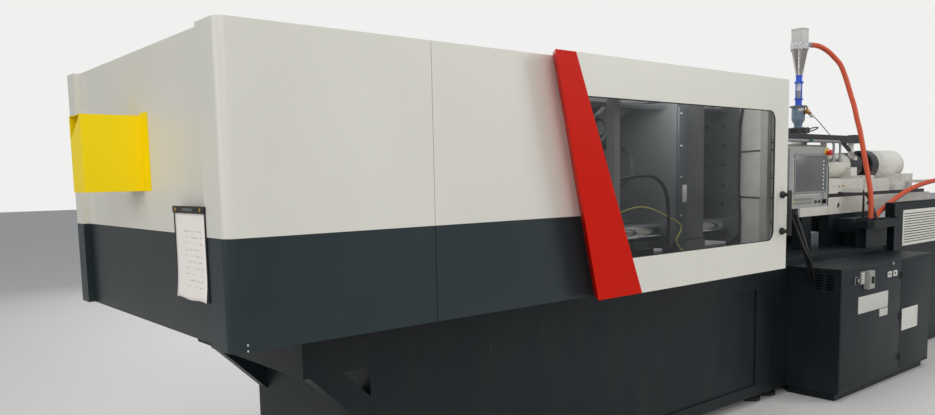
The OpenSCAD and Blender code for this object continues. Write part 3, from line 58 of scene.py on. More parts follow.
# Camera at the photo's viewing angle
lensSetup = {
    "place": (-5.2312, -3.6645, 1.7154),
    "yaw": 0.7079,
    "pitch": 0.1031,
    "roll": -0.0192,
    "focal": 794.064,
    "centre": (478.06, 260.66),
    "image": (935, 415),
}


def makeCamera(setup):
    a, b, c = setup["yaw"], setup["pitch"], setup["roll"]
    forward = Vector((math.sin(a) * math.cos(b), math.cos(a) * math.cos(b), -math.sin(b)))
    side = Vector((math.cos(a), -math.sin(a), 0))
    up = side.cross(forward)
    right = side * math.cos(c) + up * math.sin(c)
    top = up * math.cos(c) - side * math.sin(c)
    wide, high = setup["image"]
    data = bpy.data.cameras.new("camera")
    data.sensor_width = 36
    data.lens = setup["focal"] * 36 / wide
    data.shift_x = (wide / 2 - setup["centre"][0]) / wide
    data.shift_y = (setup["centre"][1] - high / 2) / wide
    data.clip_end = 100
    made = bpy.data.objects.new("camera", data)
    bpy.context.scene.collection.objects.link(made)
    turn = Matrix((right, top, -forward)).transposed().to_4x4()
    made.matrix_world = Matrix.Translation(setup["place"]) @ turn
    bpy.context.scene.camera = made


makeCamera(lensSetup)


class Wire:
    # One output socket; sums with it add Math nodes
    def __init__(self, surface, socket):
        self.surface = surface
        self.socket = socket

    def maths(self, operation, first, second=0.0):
        return self.surface.node("ShaderNodeMath", {"operation": operation}, {0: first, 1: second})

    def __add__(self, other):
        return self.maths("ADD", self, other)

    def __radd__(self, other):
        return self.maths("ADD", other, self)

    def __sub__(self, other):
        return self.maths("SUBTRACT", self, other)

    def __rsub__(self, other):
        return self.maths("SUBTRACT", other, self)

    def __mul__(self, other):
        return self.maths("MULTIPLY", self, other)

    def __rmul__(self, other):
        return self.maths("MULTIPLY", other, self)

    def __truediv__(self, other):
        return self.maths("DIVIDE", self, other)

    def __gt__(self, other):
        return self.maths("GREATER_THAN", self, other)

    def __lt__(self, other):
        return self.maths("LESS_THAN", self, other)


class Surface:
    def __init__(self, name):
        self.material = bpy.data.materials.new(name)
        self.material.use_nodes = True
        self.tree = self.material.node_tree
        self.tree.nodes.clear()
        self.coords = self.node("ShaderNodeTexCoord", output="Object")

    def node(self, kind, settings=None, inputs=None, output=0):
        made = self.tree.nodes.new(kind)
        for key, value in (settings or {}).items():
            if key == "stops":
                for i, (spot, shade) in enumerate(value):
                    stop = made.color_ramp.elements[i] if i < 2 else made.color_ramp.elements.new(spot)
                    stop.position = spot
                    stop.color = (shade, shade, shade, 1)
            else:
                setattr(made, key, value)
        for key, value in (inputs or {}).items():
            self.feed(made.inputs[key], value)
        return Wire(self, made.outputs[output])

    def feed(self, socket, value):
        if isinstance(value, Wire):
            self.tree.links.new(value.socket, socket)
        else:
            socket.default_value = value

    def noise(self, scale, detail=3, stretch=(1, 1, 1)):
        place = self.node("ShaderNodeMapping", inputs={"Vector": self.coords, "Scale": stretch})
        return self.node("ShaderNodeTexNoise", inputs={
            "Vector": place, "Scale": scale, "Detail": detail})

    def axis(self, which):
        return self.node("ShaderNodeSeparateXYZ", inputs={0: self.coords}, output=which)

    def ramp(self, value, low, high, start=0.0, end=1.0):
        return self.node("ShaderNodeMapRange", inputs={
            0: value, 1: low, 2: high, 3: start, 4: end})

    def blend(self, share, first, second):
        return self.node("ShaderNodeMix", {"data_type": "RGBA"}, {0: share, 6: first, 7: second}, 2)

    def bump(self, height, strength, reach=0.001):
        return self.node("ShaderNodeBump", inputs={
            "Height": height, "Strength": strength, "Distance": reach})

    def finish(self, **sockets):
        shader = self.tree.nodes.new("ShaderNodeBsdfPrincipled")
        for key, value in sockets.items():
            self.feed(shader.inputs[key.replace("_", " ")], value)
        output = self.tree.nodes.new("ShaderNodeOutputMaterial")
        self.tree.links.new(shader.outputs[0], output.inputs[0])
        return self.material


def shade(colour, factor):
    return [min(1, c * factor) for c in colour[:3]] + [1]


# Powder-coated sheet: slight orange peel, uneven tone, scuffs and vertical streaks of dust
def powderCoat(name, colour, rough=0.38, peel=0.1, uneven=0.05, scuffs=0.0, dirt=0.0, shine=0.5):
    s = Surface(name)
    broad = s.noise(1.3, 2)
    fine = s.noise(420, 2)
    tint = s.blend(s.ramp(broad, 0.3, 0.7), shade(colour, 1 - uneven), shade(colour, 1 + uneven))
    if scuffs:
        marks = s.ramp(s.noise(34, 5, (1, 1, 0.35)), 0.66, 0.74) * s.ramp(s.noise(2.2, 2), 0.45, 0.6)
        tint = s.blend(marks * scuffs, tint, tone(120, 118, 110))
    if dirt:
        film = s.ramp(s.noise(5, 4, (1, 1, 0.3)), 0.42, 0.75) * dirt
        tint = s.blend(film, tint, tone(96, 88, 74))
    return s.finish(Base_Color=tint, Roughness=s.ramp(broad, 0.2, 0.8, rough - 0.05, rough + 0.07),
                    Specular_IOR_Level=shine, Normal=s.bump(fine, peel))


# Painted casting with a coarser skin
def castPaint(name, colour, rough=0.5, grain=0.35, oil=0.15):
    s = Surface(name)
    skin = s.noise(160, 5)
    patch = s.ramp(s.noise(3.1, 4), 0.45, 0.7)
    tint = s.blend(patch * oil, shade(colour, 1.05), shade(colour, 0.55))
    return s.finish(Base_Color=tint, Roughness=s.ramp(patch, 0, 1, rough, rough - 0.16),
                    Normal=s.bump(skin, grain, 0.0015))


# Bare metal, brushed or turned across the given stretch
def bareMetal(name, colour, rough=0.3, stretch=(1, 1, 1), brush=0.12, stain=0.2):
    s = Surface(name)
    lines = s.noise(260, 4, stretch)
    cloud = s.ramp(s.noise(4.3, 4), 0.4, 0.75)
    tint = s.blend(cloud * stain, colour, shade(colour, 0.6))
    worn = s.ramp(lines, 0.3, 0.7, rough - 0.06, rough + 0.09)
    return s.finish(Base_Color=tint, Metallic=1.0, Roughness=worn + cloud * 0.08,
                    Normal=s.bump(lines, brush, 0.0004))


def moulded(name, colour, rough=0.42, grain=0.15, uneven=0.06):
    s = Surface(name)
    fine = s.noise(700, 2)
    broad = s.noise(6, 3)
    tint = s.blend(broad, shade(colour, 1 - uneven), shade(colour, 1 + uneven))
    return s.finish(Base_Color=tint, Roughness=s.ramp(broad, 0.3, 0.7, rough - 0.04, rough + 0.08),
                    Normal=s.bump(fine, grain, 0.0005))


# Sheet of paper with short grey rules in rows, which spell nothing
def ruledPaper(name, colour, ink):
    s = Surface(name)
    high, across = s.axis(2), s.axis(1)
    row = s.node("ShaderNodeMath", {"operation": "FRACT"}, {0: (high - 1.3) / 0.0235})
    words = s.ramp(s.noise(46, 1, (1, 1, 0.9)), 0.47, 0.53)
    inside = (across > -0.768) * (across < -0.585) * (high > 1.318) * (high < 1.545)
    first = s.node("ShaderNodeMath", {"operation": "LESS_THAN"}, {0: across, 1: -0.758})
    mark = (row < 0.13) * inside * (words + first)
    fine = s.noise(300, 2)
    return s.finish(Base_Color=s.blend(mark * 0.5, colour, ink), Roughness=0.8,
                    Normal=s.bump(fine, 0.3, 0.0004))


# Tinted safety glazing with faint hand marks
def glazing(name, colour, opacity, rough=0.05):
    s = Surface(name)
    marks = s.ramp(s.noise(9, 5, (1, 1, 1.6)), 0.45, 0.8)
    return s.finish(Base_Color=s.blend(marks * 0.3, colour, shade(colour, 1.8)),
                    Roughness=rough + marks * 0.1, Alpha=opacity + marks * 0.05, IOR=1.49)


finish = {
    "white": powderCoat("cover_white", tone(221, 219, 208), 0.36, 0.1, 0.018, 0.0, 0.03),
    "dark": powderCoat("cover_dark", tone(37, 49, 53), 0.33, 0.12, 0.06, 0.05, 0.03, 0.34),
    "baseDark": powderCoat("base_dark", tone(17, 27, 31), 0.42, 0.2, 0.12, 0.16, 0.06, 0.25),
    "red": powderCoat("band_red", tone(204, 24, 4), 0.4, 0.08, 0.04, 0.0, 0.0, 0.08),
    "yellow": powderCoat("hood_yellow", tone(255, 222, 0), 0.4, 0.1, 0.03, 0.04, 0.0, 0.25),
    "frame": powderCoat("frame_grey", tone(168, 168, 162), 0.45, 0.15, 0.05, 0.2, 0.1),
    "panelGrey": powderCoat("panel_grey", tone(150, 151, 147), 0.45, 0.25, 0.04, 0.1, 0.03),
    "bezel": moulded("panel_bezel", tone(126, 127, 123), 0.5),
    "unit": castPaint("unit_white", tone(210, 208, 199), 0.36, 0.12, 0.05),
    "bed": powderCoat("bed_white", tone(214, 211, 200), 0.4, 0.2, 0.04, 0.5, 0.16),
    "cast": castPaint("cast_grey", tone(92, 94, 94), 0.5),
    "castDark": castPaint("cast_black", tone(34, 35, 37), 0.42),
    "steel": bareMetal("turned_steel", tone(176, 178, 180), 0.34),
    "chrome": bareMetal("hard_chrome", tone(214, 216, 218), 0.12, (30, 1, 1), 0.03, 0.1),
    "stainless": bareMetal("brushed_stainless", tone(190, 187, 180), 0.26, (1, 1, 0.04), 0.14, 0.15),
    "zinc": bareMetal("zinc_plate", tone(186, 186, 180), 0.38, (4, 4, 4), 0.1, 0.3),
    "black": moulded("black_plastic", tone(22, 22, 23), 0.4),
    "rubber": moulded("black_rubber", tone(27, 27, 27), 0.7, 0.4),
    "redPlastic": moulded("red_plastic", tone(190, 24, 18), 0.28, 0.05),
    "yellowPlastic": moulded("yellow_plastic", tone(226, 190, 20), 0.35, 0.08),
    "whitePlastic": moulded("white_plastic", tone(214, 213, 206), 0.4, 0.08),
    "keyGrey": moulded("key_grey", tone(196, 196, 190), 0.5, 0.08),
    "blue": castPaint("sight_blue", tone(34, 70, 176), 0.3, 0.15, 0.1),
    "funnel": castPaint("funnel_grey", tone(106, 124, 142), 0.42, 0.2, 0.12),
    "hose": moulded("hose_orange", tone(198, 74, 32), 0.46, 0.2, 0.1),
    "screen": moulded("screen_glass", tone(92, 93, 94), 0.2, 0.02, 0.1),
    "window": glazing("tinted_window", tone(48, 52, 54), 0.3),
    "pocket": glazing("clear_pocket", tone(226, 226, 222), 0.25, 0.12),
    "paper": ruledPaper("plain_paper", tone(244, 238, 231), tone(120, 118, 124)),
    "darkEnd": powderCoat("end_dark", tone(36, 43, 45), 0.33, 0.12, 0.1, 0.05, 0.05, 0.4),
    "brass": bareMetal("brass", tone(196, 160, 84), 0.3),
    "pellets": moulded("pellets", tone(210, 212, 214), 0.4, 0.9, 0.2),
    "pelletsLow": moulded("pellets_in_shade", tone(112, 118, 126), 0.45, 0.9, 0.3),
    "clear": glazing("clear_tube", tone(226, 228, 230), 0.2, 0.04),
    "clampGreen": moulded("clamp_green", tone(20, 74, 70), 0.4, 0.1),
    "wireGreen": moulded("earth_wire", tone(178, 176, 70), 0.45, 0.1),
    "guardGrey": powderCoat("guard_grey", tone(222, 223, 215), 0.5, 0.15, 0.03, 0.1, 0.04, 0.3),
    "copper": bareMetal("brown_brass", tone(150, 104, 66), 0.36),
    "cone": bareMetal("streaked_stainless", tone(178, 174, 168), 0.24, (9, 9, 0.12), 0.3, 0.5),
    "blueDeep": castPaint("glass_blue", tone(16, 76, 200), 0.3, 0.12, 0.05),
    "crinkled": moulded("crinkled_film", tone(196, 198, 196), 0.3, 0.4, 0.1),
    "stripGrey": powderCoat("strip_grey", tone(74, 78, 82), 0.4, 0.1, 0.05),
}
print("finishes made")

slotFinish = {
    "off_white": "white", "anthracite": "dark", "black_rubber": "rubber", "cast_grey": "cast",
    "hard_chrome": "chrome", "bright_steel": "steel", "frame_grey": "frame",
    "signal_yellow": "yellow", "clear_pocket": "pocket", "panel_grey": "panelGrey",
    "unit_white": "unit", "screen": "screen", "black_plastic": "black",
    "red_plastic": "redPlastic", "stainless": "stainless", "funnel_grey": "funnel",
    "sight_blue": "blue", "hose_orange": "hose", "window": "window", "signal_red": "red",
}
nodeFinish = {
    "clamp_base": "baseDark", "injection_base": "baseDark", "low_cabinet": "baseDark",
    "tall_cabinet": "baseDark", "cabinet_door": "baseDark", "support_beam": "castDark",
    "injection_bed": "bed", "drive_flange": "castDark", "moving_platen": "cast",
    "fixed_guards": "guardGrey", "bed_rails": "castDark",
}
edgeSoft = {
    "clamp_base": 3, "injection_base": 2, "stationary_platen": 3, "tail_platen": 3,
    "moving_platen": 3, "exhaust_hood": 1, "front_upper_covers": 0.8, "front_lower_covers": 0.8,
    "rear_upper_covers": 0.8, "rear_lower_covers": 0.8, "gate_panel": 0.8, "gate_band": 1,
    "low_cabinet": 1.5, "tall_cabinet": 1.5, "cabinet_door": 1, "carriage": 3, "drive_housing": 3,
    "panel_housing": 2, "injection_bed": 2, "support_beam": 2, "loader_receiver": 3,
}


def soften(piece, wide):
    edges = piece.modifiers.new("edges", "BEVEL")
    edges.width = wide / 1000
    edges.segments = 2
    edges.limit_method = "ANGLE"
    edges.angle_limit = math.radians(40)
    edges.harden_normals = False


def dress(name):
    node = cad[name]
    main = finish[nodeFinish.get(name, slotFinish[node.material_slots[0].material.name.split(".")[0]])]
    for held in node.material_slots:
        held.material = main
    weld = node.modifiers.new("weld", "WELD")
    weld.merge_threshold = 0.00002
    if name in edgeSoft:
        soften(node, edgeSoft[name])


for name in cad:
    dress(name)


# Gives the faces of a CAD node whose middle is inside a box another finish
def patch(name, finishName, low, high):
    node = cad[name]
    node.data.materials.append(finish[finishName])
    index = len(node.data.materials) - 1
    a, b = at(*low), at(*high)
    for face in node.data.polygons:
        if all(a[i] <= face.center[i] <= b[i] for i in range(3)):
            face.material_index = index


print("frame dressed")


def addPiece(name, shape, body, finishes, stands=(), smooth=40, soft=0):
    mesh = bpy.data.meshes.new(name)
    shape.normal_update()
    shape.to_mesh(mesh)
    shape.free()
    piece = bpy.data.objects.new(name, mesh)
    bpy.context.scene.collection.objects.link(piece)
    for held in finishes:
        mesh.materials.append(finish[held])
    mesh.shade_smooth()
    mesh.set_sharp_from_angle(angle=math.radians(smooth))
    if soft:
        soften(piece, soft)
    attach(piece, body)
    if stands:
        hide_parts(*stands)
    return piece


# Gives a sheet its wall
def thicken(piece, wall, offset=0):
    thick = piece.modifiers.new("thick", "SOLIDIFY")
    thick.thickness = wall / 1000
    thick.offset = offset


# Smooth line through given points, every few millimetres
def smoothLine(points, step):
    spots = [Vector(p) for p in points]
    line = []
    for i in range(len(spots) - 1):
        a, b = spots[max(i - 1, 0)], spots[i]
        c, d = spots[i + 1], spots[min(i + 2, len(spots) - 1)]
        count = max(2, round((c - b).length / step))
        for k in range(count):
            t = k / count
            line.append(0.5 * ((2 * b) + (c - a) * t + (2 * a - 5 * b + 4 * c - d) * t * t
                               + (3 * b - a - 3 * c + d) * t ** 3))
    line.append(spots[-1])
    return line


def lineLength(line):
    return sum((b - a).length for a, b in zip(line, line[1:]))


def ringAt(shape, spot, side, across, radius, sides):
    turns = [2 * math.pi * k / sides for k in range(sides)]
    return [shape.verts.new(spot + radius * (side * math.cos(t) + across * math.sin(t))) for t in turns]


# Skin between two closed rows of points
def bridge(shape, a, b, index=0):
    for k in range(len(a)):
        n = (k + 1) % len(a)
        shape.faces.new((a[k], a[n], b[n], b[k])).material_index = index


def capEnds(shape, rings, index=0):
    shape.faces.new(list(reversed(rings[0]))).material_index = index
    shape.faces.new(rings[-1]).material_index = index


# Rings swept along a line; radius may vary along it
def addTube(shape, line, radius, sides=16, index=0):
    rings = []
    side = None
    for i, spot in enumerate(line):
        ahead = (line[min(i + 1, len(line) - 1)] - line[max(i - 1, 0)]).normalized()
        if side is None:
            side = ahead.orthogonal().normalized()
        side = (side - ahead * side.dot(ahead)).normalized()
        wide = radius(i) if callable(radius) else radius
        rings.append(ringAt(shape, spot, side, ahead.cross(side), wide, sides))
    for a, b in zip(rings, rings[1:]):
        bridge(shape, a, b, index)
    capEnds(shape, rings, index)


# Turned profile of (distance along, radius) pairs about an axis; a hollow one closes on itself
def addLathe(shape, start, axis, profile, sides=32, index=0, hollow=False):
    ahead = Vector(axis).normalized()
    side = ahead.orthogonal().normalized()
    across = ahead.cross(side)
    rings = []
    for along, radius in profile:
        spot = Vector(start) + ahead * along / 1000
        rings.append(ringAt(shape, spot, side, across, max(radius, 0.01) / 1000, sides))
    if hollow:
        rings.append(rings[0])
    for a, b in zip(rings, rings[1:]):
        bridge(shape, a, b, index)
    if not hollow:
        capEnds(shape, rings, index)


# Box between two corners with its edges broken
def addBlock(shape, low, high, edge=1.0, index=0):
    made = bmesh.ops.create_cube(shape, size=1)
    a, b = Vector(low), Vector(high)
    for v in made["verts"]:
        v.co = Vector([(a[i] + b[i]) / 2 + v.co[i] * (b[i] - a[i]) for i in range(3)])
    for f in {f for v in made["verts"] for f in v.link_faces}:
        f.material_index = index
    if edge:
        edges = list({e for v in made["verts"] for e in v.link_edges})
        bmesh.ops.bevel(shape, geom=edges, offset=edge / 1000, segments=2, affect="EDGES",
                        profile=0.6, material=index)


# Equal boxes in a row: two corners from an origin, then the step to the next one
def addRow(shape, origin, low, high, edge, index=0, step=(0, 0, 0), count=1):
    for k in range(count):
        corners = [at(*(origin[i] + c[i] + k * step[i] for i in range(3))) for c in (low, high)]
        addBlock(shape, *corners, edge, index)


# Socket-head screw standing on a face
def addScrew(shape, spot, axis, radius=6, index=0):
    addLathe(shape, spot, axis, [(-1, radius), (radius * 0.8, radius), (radius, radius * 0.84),
                                 (radius, radius * 0.5), (radius * 0.45, radius * 0.44)], 12, index)


# Domed rivet or button-head screw
def addRivet(shape, spot, axis, radius=5, index=0):
    addLathe(shape, spot, axis, [(-1, radius), (radius * 0.2, radius), (radius * 0.45, radius * 0.75),
                                 (radius * 0.55, radius * 0.3)], 12, index)


unitBody = "injection_carriage"

# Cords: hose from the loader, supply hose and the panel's cables
hoseSetup = {"diameter": 46, "rib": 9, "depth": 0.9, "sides": 20}
loaderRoute = [
    (6093, 1, 2881), (6157, 1, 2885), (6222, -3, 2884), (6287, -18, 2869), (6340, -50, 2832),
    (6380, -90, 2775), (6412, -135, 2700), (6433, -179, 2567), (6434, -222, 2430),
    (6424, -262, 2320), (6407, -299, 2200), (6387, -340, 2080), (6364, -375, 1960),
    (6334, -410, 1850), (6300, -450, 1730), (6272, -480, 1640), (6244, -510, 1540),
    (6218, -530, 1440), (6198, -540, 1350), (6184, -545, 1280),
]
supplyRoute = [
    (6290, -545, 1292), (6336, -538, 1318), (6423, -530, 1350), (6534, -524, 1381),
    (6652, -518, 1412), (6812, -512, 1456), (6980, -507, 1498), (7146, -502, 1530),
    (7303, -498, 1555), (7480, -494, 1577), (7650, -491, 1594), (7820, -490, 1606),
    (7960, -490, 1616), (8090, -490, 1622),
]
cableRoute = [
    (3908, -1015, 1478), (3915, -1015, 1440), (3938, -1012, 1400), (3985, -1006, 1350),
    (4045, -992, 1296), (4110, -974, 1248), (4180, -950, 1205), (4260, -926, 1160),
    (4340, -901, 1118), (4420, -872, 1068), (4490, -848, 1018), (4550, -826, 968),
    (4594, -808, 928), (4615, -800, 910),
]


def makeHose(name, route, node):
    line = smoothLine([at(*p) for p in route], hoseSetup["rib"] / 2000)
    core = hoseSetup["diameter"] / 2000
    ribs = hoseSetup["depth"] / 1000
    shape = bmesh.new()
    addTube(shape, line, lambda i: core - (ribs if i % 2 else 0), hoseSetup["sides"])
    hose = addPiece(name, shape, unitBody, ["hose"], (node,), 80)
    lineLength(line)
    line[::4] + [line[-1]]


makeHose("loader_hose_ribbed", loaderRoute, "loader_hose")
makeHose("supply_hose_ribbed", supplyRoute, "supply_hose")

cableSetup = {"diameters": (24, 21, 18), "spread": 14}


def makePanelCables():
    middle = smoothLine([at(*p) for p in cableRoute], 0.012)
    for i, wide in enumerate(cableSetup["diameters"]):
        line = []
        for k, spot in enumerate(middle):
            ahead = (middle[min(k + 1, len(middle) - 1)] - middle[max(k - 1, 0)]).normalized()
            side = ahead.cross(Vector((0, 0, 1))).normalized()
            up = side.cross(ahead)
            turn = 2 * math.pi * i / 3 + 1.6 * k / len(middle)
            off = side * math.cos(turn) + up * math.sin(turn)
            line.append(spot + cableSetup["spread"] / 1000 * off)
        shape = bmesh.new()
        addTube(shape, line, wide / 2000, 12)
        cable = addPiece(f"panel_cable_{i + 1}", shape, "machine", ["black"],
                         ("panel_cables",) if i == 0 else (), 80)
        lineLength(line)


makePanelCables()
print("cords made")

# Floor, backdrop colour and soft studio light
studio = {"floor": tone(214, 213, 209), "world": 0.42, "sky": (0.93, 0.95, 1, 1),
          "backdrop": (0.92, 0.92, 0.91, 1), "backdropLight": 0.95}


def makeStudio():
    floorPaint = Surface("floor_paint")
    cloud = floorPaint.noise(0.8, 3)
    paint = floorPaint.blend(cloud, shade(studio["floor"], 0.97), shade(studio["floor"], 1.03))
    shape = bmesh.new()
    bmesh.ops.create_grid(shape, x_segments=2, y_segments=2, size=60)
    mesh = bpy.data.meshes.new("floor")
    shape.to_mesh(mesh)
    shape.free()
    mesh.materials.append(floorPaint.finish(Base_Color=paint, Roughness=0.6))
    floor = bpy.data.objects.new("floor", mesh)
    floor.location.z = -0.001
    bpy.context.scene.collection.objects.link(floor)
    world = bpy.data.worlds.new("studio")
    world.use_nodes = True
    bpy.context.scene.world = world
    tree = world.node_tree
    tree.nodes.clear()
    path, seen, mix, output = [tree.nodes.new("ShaderNode" + kind) for kind in (
        "LightPath", "Math", "MixShader", "OutputWorld")]
    seen.operation = "MAXIMUM"
    tree.links.new(path.outputs["Is Camera Ray"], seen.inputs[0])
    tree.links.new(path.outputs["Is Transmission Ray"], seen.inputs[1])
    tree.links.new(seen.outputs[0], mix.inputs[0])
    for i, (colour, strength) in enumerate((("sky", "world"), ("backdrop", "backdropLight"))):
        light = tree.nodes.new("ShaderNodeBackground")
        light.inputs[0].default_value = studio[colour]
        light.inputs[1].default_value = studio[strength]
        tree.links.new(light.outputs[0], mix.inputs[i + 1])
    tree.links.new(mix.outputs[0], output.inputs[0])
    bpy.context.scene.view_settings.view_transform = "Standard"


lamps = {
    "key": {"place": (-7.5, -8.5, 6.5), "target": (-2, 0, 1.2), "size": 6, "power": 350},
    "side": {"place": (6.5, -8, 5.5), "target": (2, 0, 1.2), "size": 5, "power": 260},
    "top": {"place": (0, 0.5, 7.5), "target": (0, 0, 1), "size": 7, "power": 270},
    "back": {"place": (1, 9, 5), "target": (0, 0, 1.2), "size": 6, "power": 200},
    "end": {"place": (-10.5, -0.5, 3.4), "target": (-4.1, 0, 1.7), "size": 4, "power": 95},
    "inside": {"place": (-1.2, -0.72, 2.2), "target": (-0.25, -0.7, 1.55), "size": 0.3, "power": 7},
}


def makeLamp(name, setup):
    data = bpy.data.lights.new(name, "AREA")
    data.shape = "SQUARE"
    data.size = setup["size"]
    data.energy = setup["power"]
    lamp = bpy.data.objects.new(name, data)
    bpy.context.scene.collection.objects.link(lamp)
    lamp.location = setup["place"]
    aim = Vector(setup["target"]) - Vector(setup["place"])
    lamp.rotation_euler = aim.to_track_quat("-Z", "Y").to_euler()


makeStudio()
for name, setup in lamps.items():
    makeLamp(name, setup)
print("studio made")

# End of the machine: sheet holder with a plain sheet, rivets
holder = {"left": -811, "wide": 310, "low": 1272, "tall": 360, "bar": 27, "margin": 9, "curl": 9}


def makeHolder(setup):
    y0, y1 = setup["left"], setup["left"] + setup["wide"]
    z0, z1 = setup["low"], setup["low"] + setup["tall"]
    shape = bmesh.new()
    addBlock(shape, at(-2.4, y0, z0 + 4), at(-0.4, y1, z1), 0.6, 0)
    for y in (y0, y1 - 7):
        addBlock(shape, at(-5.5, y, z0 + 2), at(-0.4, y + 7, z1), 1.2, 0)
    addBlock(shape, at(-9, y0 - 3, z1 - setup["bar"]), at(-0.4, y1 + 3, z1), 2, 0)
    addBlock(shape, at(-11, y0 + 105, z1 - 19), at(-8.5, y0 + 205, z1 - 8), 1, 1)
    for y in (y0 + 32, y1 - 32):
        addLathe(shape, at(-8.5, y, z1 - 13), (-1, 0, 0), [(0, 8), (2, 8), (3.4, 5.5), (3.6, 1)], 16, 2)
    addPiece("sheet_holder", shape, "machine", ["black", "cast", "brass"],
             ("document_pouch",))
    # The sheet bows away from its board and curls up at its lower corners
    sheetShape = bmesh.new()
    columns, rows = 14, 22
    margin = setup["margin"]
    grid = []
    for j in range(rows + 1):
        v = j / rows
        line = []
        for i in range(columns + 1):
            u = i / columns
            curl = setup["curl"] * (1 - v) ** 6 * (0.5 + abs(u - 0.45))
            bow = 2.2 * math.sin(math.pi * u) * (1 - v) + curl
            y = y0 + margin + u * (setup["wide"] - 2 * margin)
            z = z0 + 2 + v * (setup["tall"] - setup["bar"]) + 3 * (1 - v) ** 8 * math.sin(9 * u)
            line.append(sheetShape.verts.new(at(-3.1 - bow, y, z)))
        grid.append(line)
    for a, b in zip(grid, grid[1:]):
        for i in range(columns):
            sheetShape.faces.new((a[i], b[i], b[i + 1], a[i + 1]))
    thicken(addPiece("plain_sheet", sheetShape, "machine", ["paper"]), 0.6)


makeHolder(holder)


# Rivets at the lower corner of the front cover
def makeCornerRivets():
    shape = bmesh.new()
    for z in (1110, 1132):
        addRivet(shape, at(62, -979.4, z), (0, -1, 0), 4.5)
    addPiece("corner_rivets", shape, "machine", ["zinc"])


makeCornerRivets()
patch("end_panels", "darkEnd", (-50, -1000, 1090), (120, 1000, 1518.4))

# Gates: black handle, rubber profile round the window, rollers and a lower guide
gateSetup = {"out": 1078, "bandTop": 1567, "bandLow": 1861, "wideTop": 140, "wideLow": 347,
             "winLow": 1290, "winHigh": 2100, "winEnd": 3540, "radius": 65,
             "handle": (3628, 1460), "handleFeet": 116, "handleHalf": 138,
             "guide": (2300, 3560), "rollers": (2420, 2960, 3480)}


def bandRight(z, setup):
    share = (z - guardLow) / 1200
    left = setup["bandLow"] + (setup["bandTop"] - setup["bandLow"]) * share
    return left + setup["wideLow"] + (setup["wideTop"] - setup["wideLow"]) * share


def windowPath(side, y, setup, inset=0.0):
    low, high = setup["winLow"] + inset, setup["winHigh"] - inset
    end, r = setup["winEnd"] - inset, setup["radius"]
    points = [(bandRight(low, setup) + 6, low), (end - r, low)]
    for k in range(1, 8):
        a = math.pi / 2 * k / 8
        points.append((end - r + r * math.sin(a), low + r - r * math.cos(a)))
    points += [(end, low + r), (end, high - r)]
    for k in range(1, 8):
        a = math.pi / 2 * k / 8
        points.append((end - r + r * math.cos(a), high - r + r * math.sin(a)))
    points += [(end - r, high), (bandRight(high, setup) + 6, high)]
    return [at(x, side * y, z) for x, z in points]


def makeGate(side, body, name, setup):
    out = setup["out"]
    shape = bmesh.new()
    addTube(shape, windowPath(side, out - 4.2, setup, 1.5), 0.0042, 8, 0)
    addTube(shape, windowPath(side, out - 13, setup, -9), 0.005, 8, 0)
    for k in range(12):
        x = 2330 + k * 100
        for z in (setup["winLow"] - 14, setup["winHigh"] + 14):
            addRivet(shape, at(x, side * (out - 3.5), z), (0, -side, 0), 5, 1)
    addPiece(name + "_window_seal", shape, body, ["rubber", "zinc"])
    hardware = bmesh.new()
    x, middle = setup["handle"]
    for way in (-1, 1):
        addLathe(hardware, at(x, side * (out + 9.8), middle + way * setup["handleFeet"]), (0, side, 0),
                 [(0, 23), (3, 23), (8, 20), (11, 15.5), (16, 14)], 24, 0)
    for way in (-1, 1):
        addLathe(hardware, at(x, side * (out + 55), middle + way * setup["handleHalf"]), (0, 0, way),
                 [(-2, 14), (1.5, 13.6), (4, 11.5), (5.5, 7), (6, 1)], 20, 0)
    start, end = setup["guide"]
    addBlock(hardware, at(start, side * (out - 30), 1103.2), at(end, side * (out - 12), 1109), 1.2, 1)
    for x in setup["rollers"]:
        addLathe(hardware, at(x, side * (out - 62), 1109), (0, 0, 1),
                 [(-6, 17), (0, 17), (2, 15), (9, 15), (11, 17), (16, 17), (17, 6)], 20, 1)
    addPiece(name + "_hardware", hardware, body, ["black", "zinc"])


makeGate(-1, "front_gate", "front_gate", gateSetup)
makeGate(1, "rear_gate", "rear_gate", gateSetup)
patch("gate_panel", "black", (3590, -1200, 1300), (3670, -1078.2, 1620))
patch("rear_gate_panel", "black", (3590, 1078.2, 1300), (3670, 1200, 1620))
print("guard made")

# Operator panel: raised frame round the screen, keys, button rings
panelSetup = {"left": 3722, "face": -1079, "low": 1480, "screen": (3790, 1585, 420, 240),
              "buttons": (345, 394, 450), "stop": (494, 364)}


def frameOutline(x, z, wide, high, r):
    points = []
    for cx, cz, start in ((x + wide - r, z + high - r, 0), (x + r, z + high - r, 1),
                          (x + r, z + r, 2), (x + wide - r, z + r, 3)):
        for k in range(6):
            a = math.pi / 2 * (start + k / 5)
            points.append((cx + r * math.cos(a), cz + r * math.sin(a)))
    return points


def addFrame(shape, outer, inner, back, front, index=0):
    rows = []
    for points, y in ((outer, back), (outer, front), (inner, front), (inner, back)):
        rows.append([shape.verts.new(at(x, y, z)) for x, z in points])
    for a, b in zip(rows, rows[1:]):
        bridge(shape, a, b, index)


